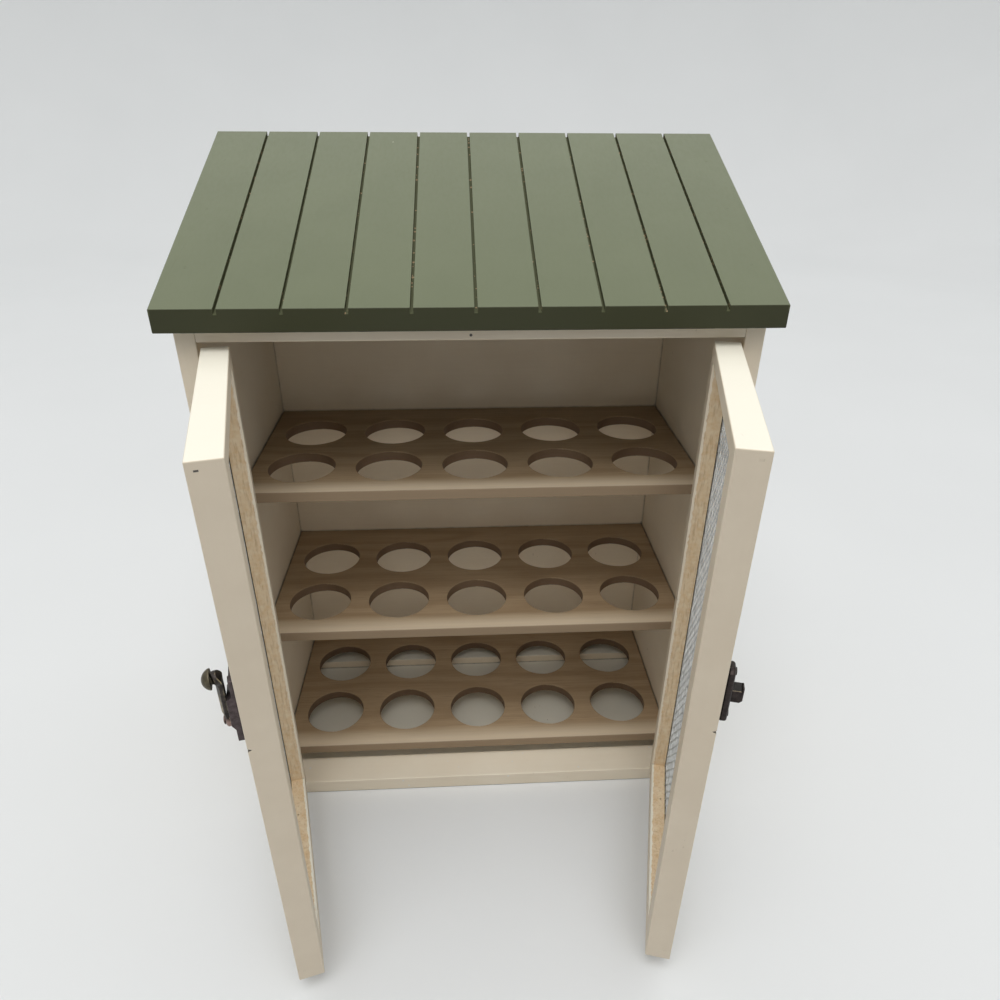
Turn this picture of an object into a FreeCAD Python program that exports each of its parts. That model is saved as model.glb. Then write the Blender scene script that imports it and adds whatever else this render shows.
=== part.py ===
import FreeCAD, Part
import os
import re
import Sketcher

# Egg house: a small cabinet with a sloping roof, three egg shelves and two mesh doors.
# Millimetres, +Z up, the front faces -Y, the origin lies in the middle of the underside.
# The doors stand open, each swung out on its own hinge pins.

SIZES = {
    # carcass
    "inner_width": 270,
    "side_thick": 10,
    "side_depth": 143,
    "front_height": 329.5,
    "back_thick": 4,
    "base_height": 10.4,
    "base_depth": 21,
    "floor_thick": 4,
    "rail_height": 11.3,
    "rail_thick": 10,
    "edge_ease": 0.6,
    # roof board
    "roof_angle": 23.5,
    "roof_thick": 10.6,
    "roof_eave": 10,
    "roof_verge": 5.5,
    "plank_count": 10,
    "groove_width": 1.6,
    "groove_deep": 2.4,
    # egg shelves
    "shelf_thick": 6.5,
    "shelf_depth": 125.5,
    "shelf_first": 25.5,
    "shelf_pitch": 100.4,
    "shelf_gap": 0.5,
    "egg_hole": 40,
    "egg_margin": 9.5,
    "egg_pitch_deep": 52.5,
    "egg_front": 33.5,
    # doors
    "left_open": 75.7,
    "right_open": 75.3,
    "door_thick": 13.2,
    "hinge_gap": 1.0,
    "meeting_gap": 3.0,
    "door_gap_low": 1.4,
    "door_gap_high": 1.9,
    "stile_width": 12.5,
    "door_top_width": 7.5,
    "door_foot_width": 15,
    "kerf_offset": 3.3,
    "kerf_width": 1.3,
    "kerf_deep": 2.5,
    "mesh_thick": 1.0,
    "mesh_slack": 0.3,
    "mesh_columns": 10,
    "mesh_rows": 26,
    "mesh_bar": 1.2,
    "nick_height": 1.9,
    "nick_deep": 2.0,
    "nick_run": 4,
    "nick_below": 21,
    # hinges
    "hinge_tall": 24,
    "hinge_inset": 45,
    "leaf_thick": 0.45,
    "leaf_width": 9,
    "leaf_back": 0.2,
    "barrel_radius": 1.5,
    "pin_radius": 0.6,
    "pin_proud": 1.8,
    "pin_fit": 0.05,
    "knuckle_gap": 0.15,
    "hinge_screw_radius": 0.6,
    "hinge_screw_long": 7.5,
    "hinge_screw_head": 1.2,
    "hinge_screw_apart": 14,
    "hinge_screw_in": 5,
    # brads
    "brad_radius": 0.7,
    "brad_long": 22,
    "back_brad_long": 18,
    "rail_brad_long": 8,
    "rail_brad_aside": 2.4,
    "rail_brad_up": 2.5,
    "drill_fit": 0.05,
    "tee_wide": 1.6,
    "tee_tall": 0.7,
    "tee_long": 24,
    "tee_from_face": 3.6,
    # latch
    "latch_height": 204,
    "latch_tall": 32,
    "latch_wide": 11,
    "latch_in": 1.5,
    "flange_thick": 1.7,
    "flange_tall": 8.1,
    "foot_thick": 2.6,
    "foot_tall": 6.3,
    "block_bevel": 2.2,
    "block_proud": 3.9,
    "latch_ease": 0.3,
    "rivet_up": 8.3,
    "rivet_radius": 1.3,
    "rivet_head": 2.4,
    "rivet_head_tall": 1.1,
    "washer_radius": 2.2,
    "washer_thick": 0.3,
    "lever_play": 0.1,
    "lever_thick": 2.9,
    "lever_wide": 4.6,
    "lever_long": 22.4,
    "lever_end": 3.2,
    "neck_radius": 2.3,
    "neck_long": 1.3,
    "cap_radius": 4.4,
    "cap_rim": 0.5,
    "cap_tall": 3.0,
    # keeper
    "keeper_height": 202,
    "keeper_tall": 30.4,
    "keeper_wide": 9,
    "keeper_in": 1.0,
    "keeper_thick": 3.2,
    "keeper_corner": 2.6,
    "keeper_ease": 1.2,
    "hook_wide": 4,
    "hook_low": 3.9,
    "hook_tall": 8.2,
    "hook_floor": 6.0,
    "hook_ramp": 2.2,
    "hook_lip": 0.9,
    "hook_bevel": 1.2,
    "hook_play": 0.2,
    # latch and keeper screws
    "latch_screw_radius": 0.9,
    "latch_screw_long": 8,
    "latch_screw_head": 1.7,
    "latch_screw_dome": 0.7,
    "latch_screw_from_end": 3.6,
}

DERIVED = {
    "half_inner": "inner_width / 2",
    "half_outer": "half_inner + side_thick",
    "total_depth": "side_depth + back_thick",
    "front_y": "-total_depth / 2",
    "back_face": "front_y + side_depth",
    "rear_y": "total_depth / 2",
    "base_front": "front_y + base_depth",
    "base_back": "back_face - base_depth",
    "slope": "tan(roof_angle)",
    "roof_plumb": "roof_thick / cos(roof_angle)",
    "roof_width": "2 * (half_outer + roof_verge)",
    "eave_y": "front_y - roof_eave",
    "rail_low": "front_height - rail_height",
    "shelf_front": "back_face - shelf_depth",
    "shelf_half": "half_inner - shelf_gap",
    "egg_pitch_across": "(2 * (shelf_half - egg_margin) - egg_hole) / 4",
    "door_width": "half_inner - hinge_gap - meeting_gap / 2",
    "door_low": "base_height + door_gap_low",
    "door_high": "rail_low - door_gap_high",
    "hinge_edge": "hinge_gap / 2",
    "free_edge": "hinge_edge + door_width",
    "door_face": "pin_proud",
    "door_back": "pin_proud + door_thick",
    "pin_x": "half_inner - hinge_gap / 2",
    "pin_y": "front_y - pin_proud",
    "kerf_face": "door_face + kerf_offset",
    "knuckle_tall": "hinge_tall / 3 - knuckle_gap",
    "hinge_low": "door_low + hinge_inset",
    "hinge_high": "door_high - hinge_inset",
    "latch_low": "latch_height - latch_tall / 2",
    "keeper_low": "keeper_height - keeper_tall / 2",
    "rivet_u": "free_edge - latch_in - latch_wide / 2",
    "rivet_z": "latch_low + rivet_up",
    "lever_back": "block_proud + washer_thick + lever_play",
    "lever_face": "lever_back + lever_thick",
    "hook_reach": "lever_face + hook_play + hook_lip",
    "hook_z": "keeper_height - hook_low",
}

X_AXIS = FreeCAD.Vector(1, 0, 0)
Y_AXIS = FreeCAD.Vector(0, 1, 0)
Z_AXIS = FreeCAD.Vector(0, 0, 1)
EGG_COLUMNS = (-2, -1, 0, 1, 2)
EGG_ROWS = (0, 1)
SAME_PLACE = 1e-6

doc = FreeCAD.newDocument("egg_house")
sheet = doc.addObject("Spreadsheet::Sheet", "Sizes")
pieces = []


def fill_sheet():
    row = 0
    for alias, entry in list(SIZES.items()) + list(DERIVED.items()):
        row += 1
        text = "=" + entry if isinstance(entry, str) else str(entry)
        sheet.set(f"A{row}", alias)
        sheet.set(f"B{row}", text)
        sheet.setAlias(f"B{row}", alias)
    doc.recompute()


def cell_name(word):
    known = word[0] in SIZES or word[0] in DERIVED
    return "Sizes." + word[0] if known else word[0]


def in_sheet(formula):
    """Point the size names in a formula at their cells."""
    return re.sub(r"[a-z_]+", cell_name, formula)


def value(formula):
    result = sheet.evalExpression(in_sheet(formula))
    return float(getattr(result, "Value", result))


def bind(thing, prop, formula):
    thing.setExpression(prop, in_sheet(formula))


def place(thing, corner):
    for axis, formula in zip("xyz", corner):
        bind(thing, "Placement.Base." + axis, formula)


def turn_to(thing, direction):
    thing.Placement = FreeCAD.Placement(FreeCAD.Vector(), FreeCAD.Rotation(Z_AXIS, direction))


def name_piece(thing, label):
    thing.Label = label
    pieces.append(thing)
    return thing


def block(name, size, corner):
    solid = doc.addObject("Part::Box", name)
    for prop, formula in zip(("Length", "Width", "Height"), size):
        bind(solid, prop, formula)
    place(solid, corner)
    return solid


def rod(name, radius, length, start, direction):
    solid = doc.addObject("Part::Cylinder", name)
    bind(solid, "Radius", radius)
    bind(solid, "Height", length)
    turn_to(solid, direction)
    place(solid, start)
    return solid


def group(name, members):
    bundle = doc.addObject("Part::Compound", name)
    bundle.Links = members
    return bundle


def cut(name, base, tools):
    result = doc.addObject("Part::Cut", name)
    result.Base = base
    result.Tool = group(name + "_tools", tools) if len(tools) > 1 else tools[0]
    return result


def fuse(name, members):
    result = doc.addObject("Part::MultiFuse", name)
    result.Shapes = members
    return result


def outline(sketch, corners):
    """Closed run of straight lines, with every corner held by the sheet."""
    spots = [FreeCAD.Vector(value(across), value(up), 0) for across, up in corners]
    for number, spot in enumerate(spots):
        sketch.addGeometry(Part.LineSegment(spot, spots[(number + 1) % len(spots)]))
    for number, corner in enumerate(corners):
        sketch.addConstraint(Sketcher.Constraint("Coincident", number, 2, (number + 1) % len(spots), 1))
        for kind, formula, place_now in zip(("DistanceX", "DistanceY"), corner, spots[number]):
            hold_distance(sketch, kind, number, 1, formula, place_now)


def hold_distance(sketch, kind, curve, point, formula, distance):
    if formula == "0":
        axis = -2 if kind == "DistanceX" else -1
        sketch.addConstraint(Sketcher.Constraint("PointOnObject", curve, point, axis))
        return
    index = sketch.addConstraint(Sketcher.Constraint(kind, -1, 1, curve, point, distance))
    bind(sketch, f"Constraints[{index}]", formula)


def round_hole(sketch, across, up, diameter):
    centre = FreeCAD.Vector(value(across), value(up), 0)
    curve = sketch.addGeometry(Part.Circle(centre, Z_AXIS, value(diameter) / 2))
    hold_distance(sketch, "DistanceX", curve, 3, across, centre.x)
    hold_distance(sketch, "DistanceY", curve, 3, up, centre.y)
    index = sketch.addConstraint(Sketcher.Constraint("Diameter", curve, value(diameter)))
    bind(sketch, f"Constraints[{index}]", diameter)


def in_plane(edge, axis, formula):
    """Whether an edge lies in the plane square to an axis at a place."""
    spot = value(formula)
    return all(abs(getattr(vertex.Point, axis) - spot) < SAME_PLACE for vertex in edge.Vertexes)


def padded(name, plane, corners, start, length, holes=(), ease=None, sharp=()):
    """Body padded from a sketch on an origin plane, eased if asked except at the planes named sharp."""
    body = doc.addObject("PartDesign::Body", name)
    sketch = body.newObject("Sketcher::SketchObject", name + "_sketch")
    support = [face for face in body.Origin.OriginFeatures if face.Role == plane][0]
    sketch.AttachmentSupport = [(support, "")]
    sketch.MapMode = "FlatFace"
    bind(sketch, "AttachmentOffset.Base.z", start)
    outline(sketch, corners)
    for across, up, diameter in holes:
        round_hole(sketch, across, up, diameter)
    pad = body.newObject("PartDesign::Pad", name + "_pad")
    pad.Profile = sketch
    bind(pad, "Length", length)
    if ease:
        doc.recompute()
        eased = []
        for number, edge in enumerate(pad.Shape.Edges, 1):
            if not any(in_plane(edge, axis, spot) for axis, spot in sharp):
                eased.append(f"Edge{number}")
        rounding = body.newObject("PartDesign::Fillet", name + "_ease")
        rounding.Base = (pad, eased)
        bind(rounding, "Radius", ease)
        body.Tip = rounding
    return body


def rectangle(low_across, high_across, low_up, high_up):
    return [
        (low_across, low_up),
        (high_across, low_up),
        (high_across, high_up),
        (low_across, high_up),
    ]


def under_roof(y):
    """Height of the roof board's underside at a depth."""
    return f"front_height + ({y} - front_y) * slope"


def sloped(low_y, high_y, low_z):
    """Side view of a board whose top is cut to the roof's slope."""
    return [
        (low_y, low_z),
        (high_y, low_z),
        (high_y, under_roof(high_y)),
        (low_y, under_roof(low_y)),
    ]


class Fasteners:
    """Like pins or screws: the pieces themselves and the drills that make room for them."""

    def __init__(self, label):
        self.label = label
        self.solids = []
        self.drills = []

    def pin(self, radius, length, start, direction):
        name = f"{self.label}_{len(self.solids)}"
        self.solids.append(rod(name, radius, length, start, direction))
        self.drills.append(rod(name + "_drill", f"{radius} + drill_fit", length, start, direction))

    def screw(self, shank, head, start, direction):
        """Head and shank that both begin at the head's outer face."""
        name = f"{self.label}_{len(self.solids)}"
        shank_radius, shank_long = shank
        head_radius, head_tall = head
        top = rod(name + "_head", head_radius, head_tall, start, direction)
        stem = rod(name + "_stem", shank_radius, shank_long, start, direction)
        self.solids.append(fuse(name, [top, stem]))
        sink = rod(name + "_sink", f"{head_radius} + drill_fit", head_tall, start, direction)
        drill = rod(name + "_drill", f"{shank_radius} + drill_fit", shank_long, start, direction)
        self.drills += [sink, drill]

    def done(self):
        return name_piece(group(self.label + "_group", self.solids), self.label)


class Post:
    """Hinge post of one hand: u runs from the pins to the shut door's free edge, v runs to the back."""

    def __init__(self, hand, sign, x, y):
        self.hand = hand
        self.sign = sign
        self.x = x
        self.y = y

    def across(self, u):
        return f"{self.x} + {u}" if self.sign > 0 else f"{self.x} - ({u})"

    def deep(self, v):
        return f"{self.y} + {v}"

    def span(self, low_u, high_u):
        ends = (self.across(low_u), self.across(high_u))
        return ends if self.sign > 0 else ends[::-1]

    def block(self, name, u, v, z):
        low, high = self.span(*u)
        size = (f"{u[1]} - ({u[0]})", f"{v[1]} - ({v[0]})", f"{z[1]} - ({z[0]})")
        return block(name, size, (low, self.deep(v[0]), z[0]))

    def run(self):
        """Direction from the hinge edge towards the free edge of the shut door."""
        return FreeCAD.Vector(self.sign, 0, 0)


class Door(Post):
    """A post's door, drawn shut about its own pins and hung open in the cabinet."""

    def __init__(self, post, opening, axis):
        super().__init__(post.hand, post.sign, "0", "0")
        self.post = post
        self.opening = opening
        self.axis = axis

    def hang(self, thing, label):
        thing.Placement = FreeCAD.Placement(FreeCAD.Vector(), FreeCAD.Rotation(self.axis, 1))
        place(thing, (self.post.x, self.post.y, "0"))
        bind(thing, "Placement.Rotation.Angle", self.opening)
        return name_piece(thing, label)


LEFT_POST = Post("left", 1, "-pin_x", "pin_y")
RIGHT_POST = Post("right", -1, "pin_x", "pin_y")
LEFT = Door(LEFT_POST, "left_open", -Z_AXIS)
RIGHT = Door(RIGHT_POST, "right_open", Z_AXIS)
HINGES = {"upper": "hinge_high", "lower": "hinge_low"}
SHELVES = {"bottom": 0, "middle": 1, "top": 2}


def shelf_top(step):
    return f"shelf_first + {step} * shelf_pitch"


def shelf_middle(step):
    return f"{shelf_top(step)} - shelf_thick / 2"


def side_brads():
    """Brads through each side into the base, the shelves and the top rail."""
    brads = Fasteners("side_brads")
    between_rows = "shelf_front + egg_front + egg_pitch_deep / 2"
    near_front = "shelf_front + egg_front - egg_hole / 2 - 3 * brad_radius"
    places = [
        ("front_y + base_depth / 2", "base_height / 2"),
        ("back_face - base_depth / 2", "(floor_thick + base_height) / 2"),
        (between_rows, "floor_thick / 2"),
        ("front_y + rail_thick / 2", "rail_low + rail_height / 2"),
    ]
    for step in SHELVES.values():
        places += [(near_front, shelf_middle(step)), (between_rows, shelf_middle(step))]
    for y, z in places:
        brads.pin("brad_radius", "brad_long", ("-half_outer", y, z), X_AXIS)
        brads.pin("brad_radius", "brad_long", ("half_outer", y, z), -X_AXIS)
    brads.done()
    return brads.drills


def back_brads():
    """Brads through the back panel into the rear edges of the sides and the rear base rail."""
    brads = Fasteners("back_brads")
    edge = "half_inner + side_thick / 2"
    for step in SHELVES.values():
        for x in (f"-({edge})", edge):
            height = f"{shelf_top(step)} + shelf_pitch / 2"
            brads.pin("brad_radius", "back_brad_long", (x, "rear_y", height), -Y_AXIS)
    for x in ("-half_inner / 2", "0", "half_inner / 2"):
        height = "(floor_thick + base_height) / 2"
        brads.pin("brad_radius", "back_brad_long", (x, "rear_y", height), -Y_AXIS)
    brads.done()
    return brads.drills


def roof_brads():
    """Brads square to the roof board, into the sloping tops of the sides."""
    brads = Fasteners("roof_brads")
    inward = FreeCAD.Rotation(X_AXIS, value("roof_angle")).multVec(-Z_AXIS)
    edge = "half_inner + side_thick / 2"
    for share in (1, 3, 5):
        y = f"front_y + side_depth * {share} / 6"
        head_y = f"{y} - roof_thick * sin(roof_angle)"
        head_z = f"{under_roof(y)} + roof_thick * cos(roof_angle)"
        for x in (f"-({edge})", edge):
            brads.pin("brad_radius", "brad_long", (x, head_y, head_z), inward)
    brads.done()
    return brads.drills


def rail_brad():
    """The one brad whose head shows in the face of the top rail."""
    brads = Fasteners("rail_brad")
    spot = ("-rail_brad_aside", "front_y", "rail_low + rail_brad_up")
    brads.pin("brad_radius", "rail_brad_long", spot, Y_AXIS)
    brads.done()
    return brads.drills


def hinge_screws(label, post, face_u, towards):
    """Screws of one leaf set: two to each leaf, in line up the leaf."""
    screws = Fasteners(label)
    shank = ("hinge_screw_radius", "hinge_screw_long")
    head = ("hinge_screw_head", "leaf_thick")
    direction = post.run() * towards
    for middle in HINGES.values():
        for up in ("-", "+"):
            height = f"{middle} {up} hinge_screw_apart / 2"
            start = (post.across(face_u), post.deep("door_face + hinge_screw_in"), height)
            screws.screw(shank, head, start, direction)
    return screws


def leaf(name, post, middle, u, knuckles):
    """Hinge leaf: a plate with its knuckles, and the bore for the pin."""
    plate_from = "door_face + leaf_back"
    plate_to = "door_face + leaf_width"
    low = f"{middle} - hinge_tall / 2"
    high = f"{middle} + hinge_tall / 2"
    solids = [post.block(name + "_plate", u, (plate_from, plate_to), (low, high))]
    for number, third in enumerate(knuckles):
        floor = f"{middle} + {third} * hinge_tall / 3 - knuckle_tall / 2"
        ceiling = f"{floor} + knuckle_tall"
        foot = (post.x, post.y, floor)
        barrel = rod(f"{name}_knuckle_{number}", "barrel_radius", "knuckle_tall", foot, Z_AXIS)
        tab = post.block(f"{name}_tab_{number}", u, ("0", plate_from), (floor, ceiling))
        solids += [barrel, tab]
    bore = rod(name + "_bore", "pin_radius + pin_fit", "hinge_tall", (post.x, post.y, low), Z_AXIS)
    return fuse(name + "_whole", solids), bore


def side_leaves(post):
    """Leaves on one side panel, their screws and the pins; returns the panel's screw drills."""
    hand = post.hand
    screws = hinge_screws(f"{hand}_side_hinge_screws", post, "leaf_thick - hinge_edge", -1)
    pins = []
    for where, middle in HINGES.items():
        name = f"{hand}_{where}_side_leaf"
        whole, bore = leaf(name, post, middle, ("-hinge_edge", "leaf_thick - hinge_edge"), (-1, 1))
        name_piece(cut(name + "_bored", whole, [bore] + screws.drills), name)
        foot = (post.x, post.y, f"{middle} - hinge_tall / 2")
        pins.append(rod(f"{hand}_{where}_pin", "pin_radius", "hinge_tall", foot, Z_AXIS))
    name_piece(group(f"{hand}_pins", pins), f"{hand}_hinge_pins")
    screws.done()
    return screws.drills


def carcass():
    into_sides = side_brads()
    into_back = back_brads()
    into_roof = roof_brads()
    into_rail = rail_brad()
    for post, start in ((LEFT_POST, "-half_outer"), (RIGHT_POST, "half_inner")):
        hand = post.hand
        edges = sloped("front_y", "back_face", "0")
        panel = padded(f"{hand}_side", "YZ_Plane", edges, start, "side_thick", ease="edge_ease")
        drills = into_sides + into_back + into_roof + side_leaves(post)
        name_piece(cut(f"{hand}_side_drilled", panel, drills), f"side_panel_{hand}")
    edges = sloped("back_face", "rear_y", "0")
    back = padded("back", "YZ_Plane", edges, "-half_outer", "2 * half_outer", ease="edge_ease")
    name_piece(cut("back_drilled", back, into_back), "back_panel")
    base(into_sides + into_back)
    edges = sloped("front_y", "front_y + rail_thick", "rail_low")
    rail = padded("rail", "YZ_Plane", edges, "-half_inner", "inner_width", ease="edge_ease")
    name_piece(cut("rail_drilled", rail, into_sides + into_rail), "top_rail")
    for where, step in SHELVES.items():
        egg_shelf(where, step, into_sides)
    roof_board(into_roof)


def base(drills):
    """Thin bottom panel behind the front rail, with the rear rail standing on it."""
    sections = {
        "base_front_rail": rectangle("front_y", "base_front", "0", "base_height"),
        "bottom_panel": rectangle("base_front", "back_face", "0", "floor_thick"),
        "base_back_rail": rectangle("base_back", "back_face", "floor_thick", "base_height"),
    }
    for name, edges in sections.items():
        board = padded(name + "_plain", "YZ_Plane", edges, "-half_inner", "inner_width", ease="edge_ease")
        name_piece(cut(name + "_drilled", board, drills), name)


def egg_shelf(where, step, drills):
    holes = []
    for row in EGG_ROWS:
        for column in EGG_COLUMNS:
            depth = f"shelf_front + egg_front + {row} * egg_pitch_deep"
            across = f"{column} * egg_pitch_across" if column else "0"
            holes.append((across, depth, "egg_hole"))
    name = f"egg_shelf_{where}"
    edges = rectangle("-shelf_half", "shelf_half", "shelf_front", "back_face")
    low = f"{shelf_top(step)} - shelf_thick"
    shelf = padded(name + "_plain", "XY_Plane", edges, low, "shelf_thick", holes=holes, ease="edge_ease")
    name_piece(cut(name + "_drilled", shelf, drills), name)


def roof_board(drills):
    """Sloping board with plumb front and rear edges and a saw groove between planks."""
    eave_low = under_roof("eave_y")
    rear_low = under_roof("rear_y")
    edges = [
        ("eave_y", eave_low),
        ("rear_y", rear_low),
        ("rear_y", f"{rear_low} + roof_plumb"),
        ("eave_y", f"{eave_low} + roof_plumb"),
    ]
    board = padded("roof_plain", "YZ_Plane", edges, "-roof_width / 2", "roof_width", ease="edge_ease")
    grooves = []
    run = "(total_depth + roof_eave) / cos(roof_angle)"
    spare = "2 * roof_thick"
    for number in range(1, int(value("plank_count"))):
        x = f"roof_width * ({number} / plank_count - 0.5) - groove_width / 2"
        y = f"eave_y + groove_deep * sin(roof_angle) - {spare} * cos(roof_angle)"
        z = f"{eave_low} + roof_plumb - groove_deep * cos(roof_angle) - {spare} * sin(roof_angle)"
        size = ("groove_width", f"{run} + 2 * {spare}", "2 * groove_deep")
        saw = block(f"groove_{number}", size, (x, y, z))
        saw.Placement = FreeCAD.Placement(saw.Placement.Base, FreeCAD.Rotation(X_AXIS, 1))
        bind(saw, "Placement.Rotation.Angle", "roof_angle")
        grooves.append(saw)
    name_piece(cut("roof_grooved", board, grooves + drills), "roof_board")


def about(middle, size):
    """Both ends of a size that lies evenly about its middle."""
    return f"{middle} - ({size}) / 2", f"{middle} + ({size}) / 2"


def tee_brads(side):
    """Flat brads through the stiles' edges into the ends of the door rails."""
    hand = side.hand
    solids = []
    slots = []
    ends = {"low": "door_low + door_foot_width / 2", "high": "door_high - door_top_width / 2"}
    starts = {"hinge": "hinge_edge", "free": "free_edge - tee_long"}
    middle = "door_face + tee_from_face"
    for end, height in ends.items():
        for edge, start in starts.items():
            name = f"{hand}_{end}_{edge}_tee"
            u = (start, f"{start} + tee_long")
            solids.append(side.block(name, u, about(middle, "tee_wide"), about(height, "tee_tall")))
            wide = about(middle, "tee_wide + 2 * drill_fit")
            tall = about(height, "tee_tall + 2 * drill_fit")
            slots.append(side.block(name + "_slot", u, wide, tall))
    side.hang(group(f"{hand}_tees", solids), f"{hand}_door_brads")
    return slots


def kerf(side, name, u, z):
    return side.block(name, u, ("kerf_face", "kerf_face + kerf_width"), z)


def door_frame(side, hinge_drills, fitting_drills):
    """Two stiles and two rails of a door, kerfed on their inner edges for the mesh."""
    hand = side.hand
    slots = tee_brads(side)
    low, high = "door_low", "door_high"
    inner_u = ("hinge_edge + stile_width", "free_edge - stile_width")
    inner_z = (f"{low} + door_foot_width", f"{high} - door_top_width")
    kerf_z = (f"{inner_z[0]} - kerf_deep", f"{inner_z[1]} + kerf_deep")
    tall = f"{high} - {low}"
    stiles = {"hinge": (("hinge_edge", inner_u[0]), inner_u[0]),
              "free": ((inner_u[1], "free_edge"), inner_u[1])}
    for edge, (u, joint_u) in stiles.items():
        name = f"{hand}_{edge}_stile"
        edges = rectangle(*side.span(*u), "door_face", "door_back")
        sharp = [("x", side.across(joint_u))]
        stile = padded(name + "_plain", "XY_Plane", edges, low, tall, ease="edge_ease", sharp=sharp)
        tools = slots + [kerf(side, name + "_kerf", about(joint_u, "2 * kerf_deep"), kerf_z)]
        tools += hinge_drills if edge == "hinge" else fitting_drills + [nick(side)]
        side.hang(cut(name + "_cut", stile, tools), name)
    rails = {"top": (inner_z[1], "door_top_width", inner_z[1]),
             "bottom": (low, "door_foot_width", inner_z[0])}
    for end, (foot, width, joint_z) in rails.items():
        name = f"{hand}_door_{end}_rail"
        ends = side.span(*inner_u)
        edges = rectangle(*ends, "door_face", "door_back")
        sharp = [("x", ends[0]), ("x", ends[1]), ("z", joint_z)]
        rail = padded(name + "_plain", "XY_Plane", edges, foot, width, ease="edge_ease", sharp=sharp)
        slot = kerf(side, name + "_kerf", inner_u, about(joint_z, "2 * kerf_deep"))
        side.hang(cut(name + "_cut", rail, slots + [slot]), name)


def nick(side):
    """Small V cut in the free stile's outer corner, below the latch."""
    name = f"{side.hand}_nick"
    height = "latch_height - nick_below"
    section = [
        ("door_face - nick_deep", f"{height} - nick_height"),
        ("door_face + nick_deep", height),
        ("door_face - nick_deep", f"{height} + nick_height"),
    ]
    low, high = side.span("free_edge - nick_run", "free_edge + nick_run")
    return padded(name, "YZ_Plane", section, low, f"{high} - ({low})")


def mesh(side):
    """Wire mesh as one thin sheet with a hole for every gap, held in the kerfs all round."""
    reach = value("kerf_deep - mesh_slack")
    low_u = value("hinge_edge + stile_width")
    wide = value("free_edge - stile_width") - low_u
    low_z = value("door_low + door_foot_width")
    tall = value("door_high - door_top_width") - low_z
    face_v = value("kerf_face + (kerf_width - mesh_thick) / 2")
    columns = int(value("mesh_columns"))
    rows = int(value("mesh_rows"))
    gap_wide = wide / columns - value("mesh_bar")
    gap_tall = tall / rows - value("mesh_bar")

    def loop(u, z, width, height):
        corners = [(u, z), (u + width, z), (u + width, z + height), (u, z + height), (u, z)]
        return Part.makePolygon([FreeCAD.Vector(side.sign * at, face_v, up) for at, up in corners])

    loops = [loop(low_u - reach, low_z - reach, wide + 2 * reach, tall + 2 * reach)]
    for column in range(columns):
        for row in range(rows):
            u = low_u + wide * (column + 0.5) / columns - gap_wide / 2
            z = low_z + tall * (row + 0.5) / rows - gap_tall / 2
            loops.append(loop(u, z, gap_wide, gap_tall))
    sheet_face = Part.Face(loops, "Part::FaceMakerBullseye")
    net = doc.addObject("Part::Feature", f"{side.hand}_net")
    net.Shape = sheet_face.extrude(FreeCAD.Vector(0, value("mesh_thick"), 0))
    side.hang(net, f"{side.hand}_door_mesh")


def door_leaves(side):
    """Door leaves and their screws; returns the hinge stile's screw drills."""
    screws = hinge_screws(f"{side.hand}_door_hinge_screws", side, "hinge_edge - leaf_thick", 1)
    for where, middle in HINGES.items():
        name = f"{side.hand}_{where}_door_leaf"
        whole, bore = leaf(name, side, middle, ("hinge_edge - leaf_thick", "hinge_edge"), (0,))
        side.hang(cut(name + "_bored", whole, [bore] + screws.drills), name)
    side.hang(group(screws.label + "_group", screws.solids), screws.label)
    return screws.drills


def fitting_screws(side, label, middle_u, ends):
    """Domed screws at the ends of a latch or keeper plate, each end given by its height and thickness."""
    screws = Fasteners(label)
    head = ("latch_screw_head", "latch_screw_dome")
    for height, thick in ends:
        shank = ("latch_screw_radius", f"latch_screw_dome + {thick} + latch_screw_long")
        start = (side.across(middle_u), f"door_face - {thick} - latch_screw_dome", height)
        screws.screw(shank, head, start, Y_AXIS)
    side.hang(group(label + "_group", screws.solids), label)
    return screws.drills


def latch():
    """Latch plate on the left door, with the rivet that the lever swings on."""
    flange = "door_face - flange_thick"
    foot = "door_face - foot_thick"
    proud = "door_face - block_proud"
    top = "latch_low + latch_tall"
    ends = [
        ("latch_low + latch_screw_from_end", "foot_thick"),
        (f"{top} - latch_screw_from_end", "flange_thick"),
    ]
    screw_drills = fitting_screws(LEFT, "latch_screws", "rivet_u", ends)
    section = [
        ("door_face", "latch_low"),
        ("door_face", top),
        (flange, top),
        (flange, f"{top} - flange_tall"),
        (proud, f"{top} - flange_tall - block_bevel"),
        (proud, "latch_low + foot_tall + block_bevel"),
        (foot, "latch_low + foot_tall"),
        (foot, "latch_low"),
    ]
    start = "free_edge - latch_in - latch_wide"
    plate = padded("latch_plate_plain", "YZ_Plane", section, start, "latch_wide", ease="latch_ease")
    hole = rod("rivet_hole", "rivet_radius + drill_fit", "block_proud", ("rivet_u", proud, "rivet_z"), Y_AXIS)
    LEFT.hang(cut("latch_plate_drilled", plate, screw_drills + [hole]), "latch_plate")
    rivet()
    lever()
    return screw_drills


def rivet():
    """Washer, shank and head in one piece, riveted in the latch plate."""
    face = "door_face - lever_face - lever_play"
    shank_long = "lever_face + lever_play"
    shank = rod("rivet_shank", "rivet_radius", shank_long, ("rivet_u", face, "rivet_z"), Y_AXIS)
    washer_from = ("rivet_u", "door_face - block_proud - washer_thick", "rivet_z")
    washer = rod("rivet_washer", "washer_radius", "washer_thick", washer_from, Y_AXIS)
    head_from = ("rivet_u", f"{face} - rivet_head_tall", "rivet_z")
    head = rod("rivet_cap", "rivet_head", "rivet_head_tall", head_from, Y_AXIS)
    LEFT.hang(fuse("rivet_whole", [shank, washer, head]), "latch_rivet")


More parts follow.
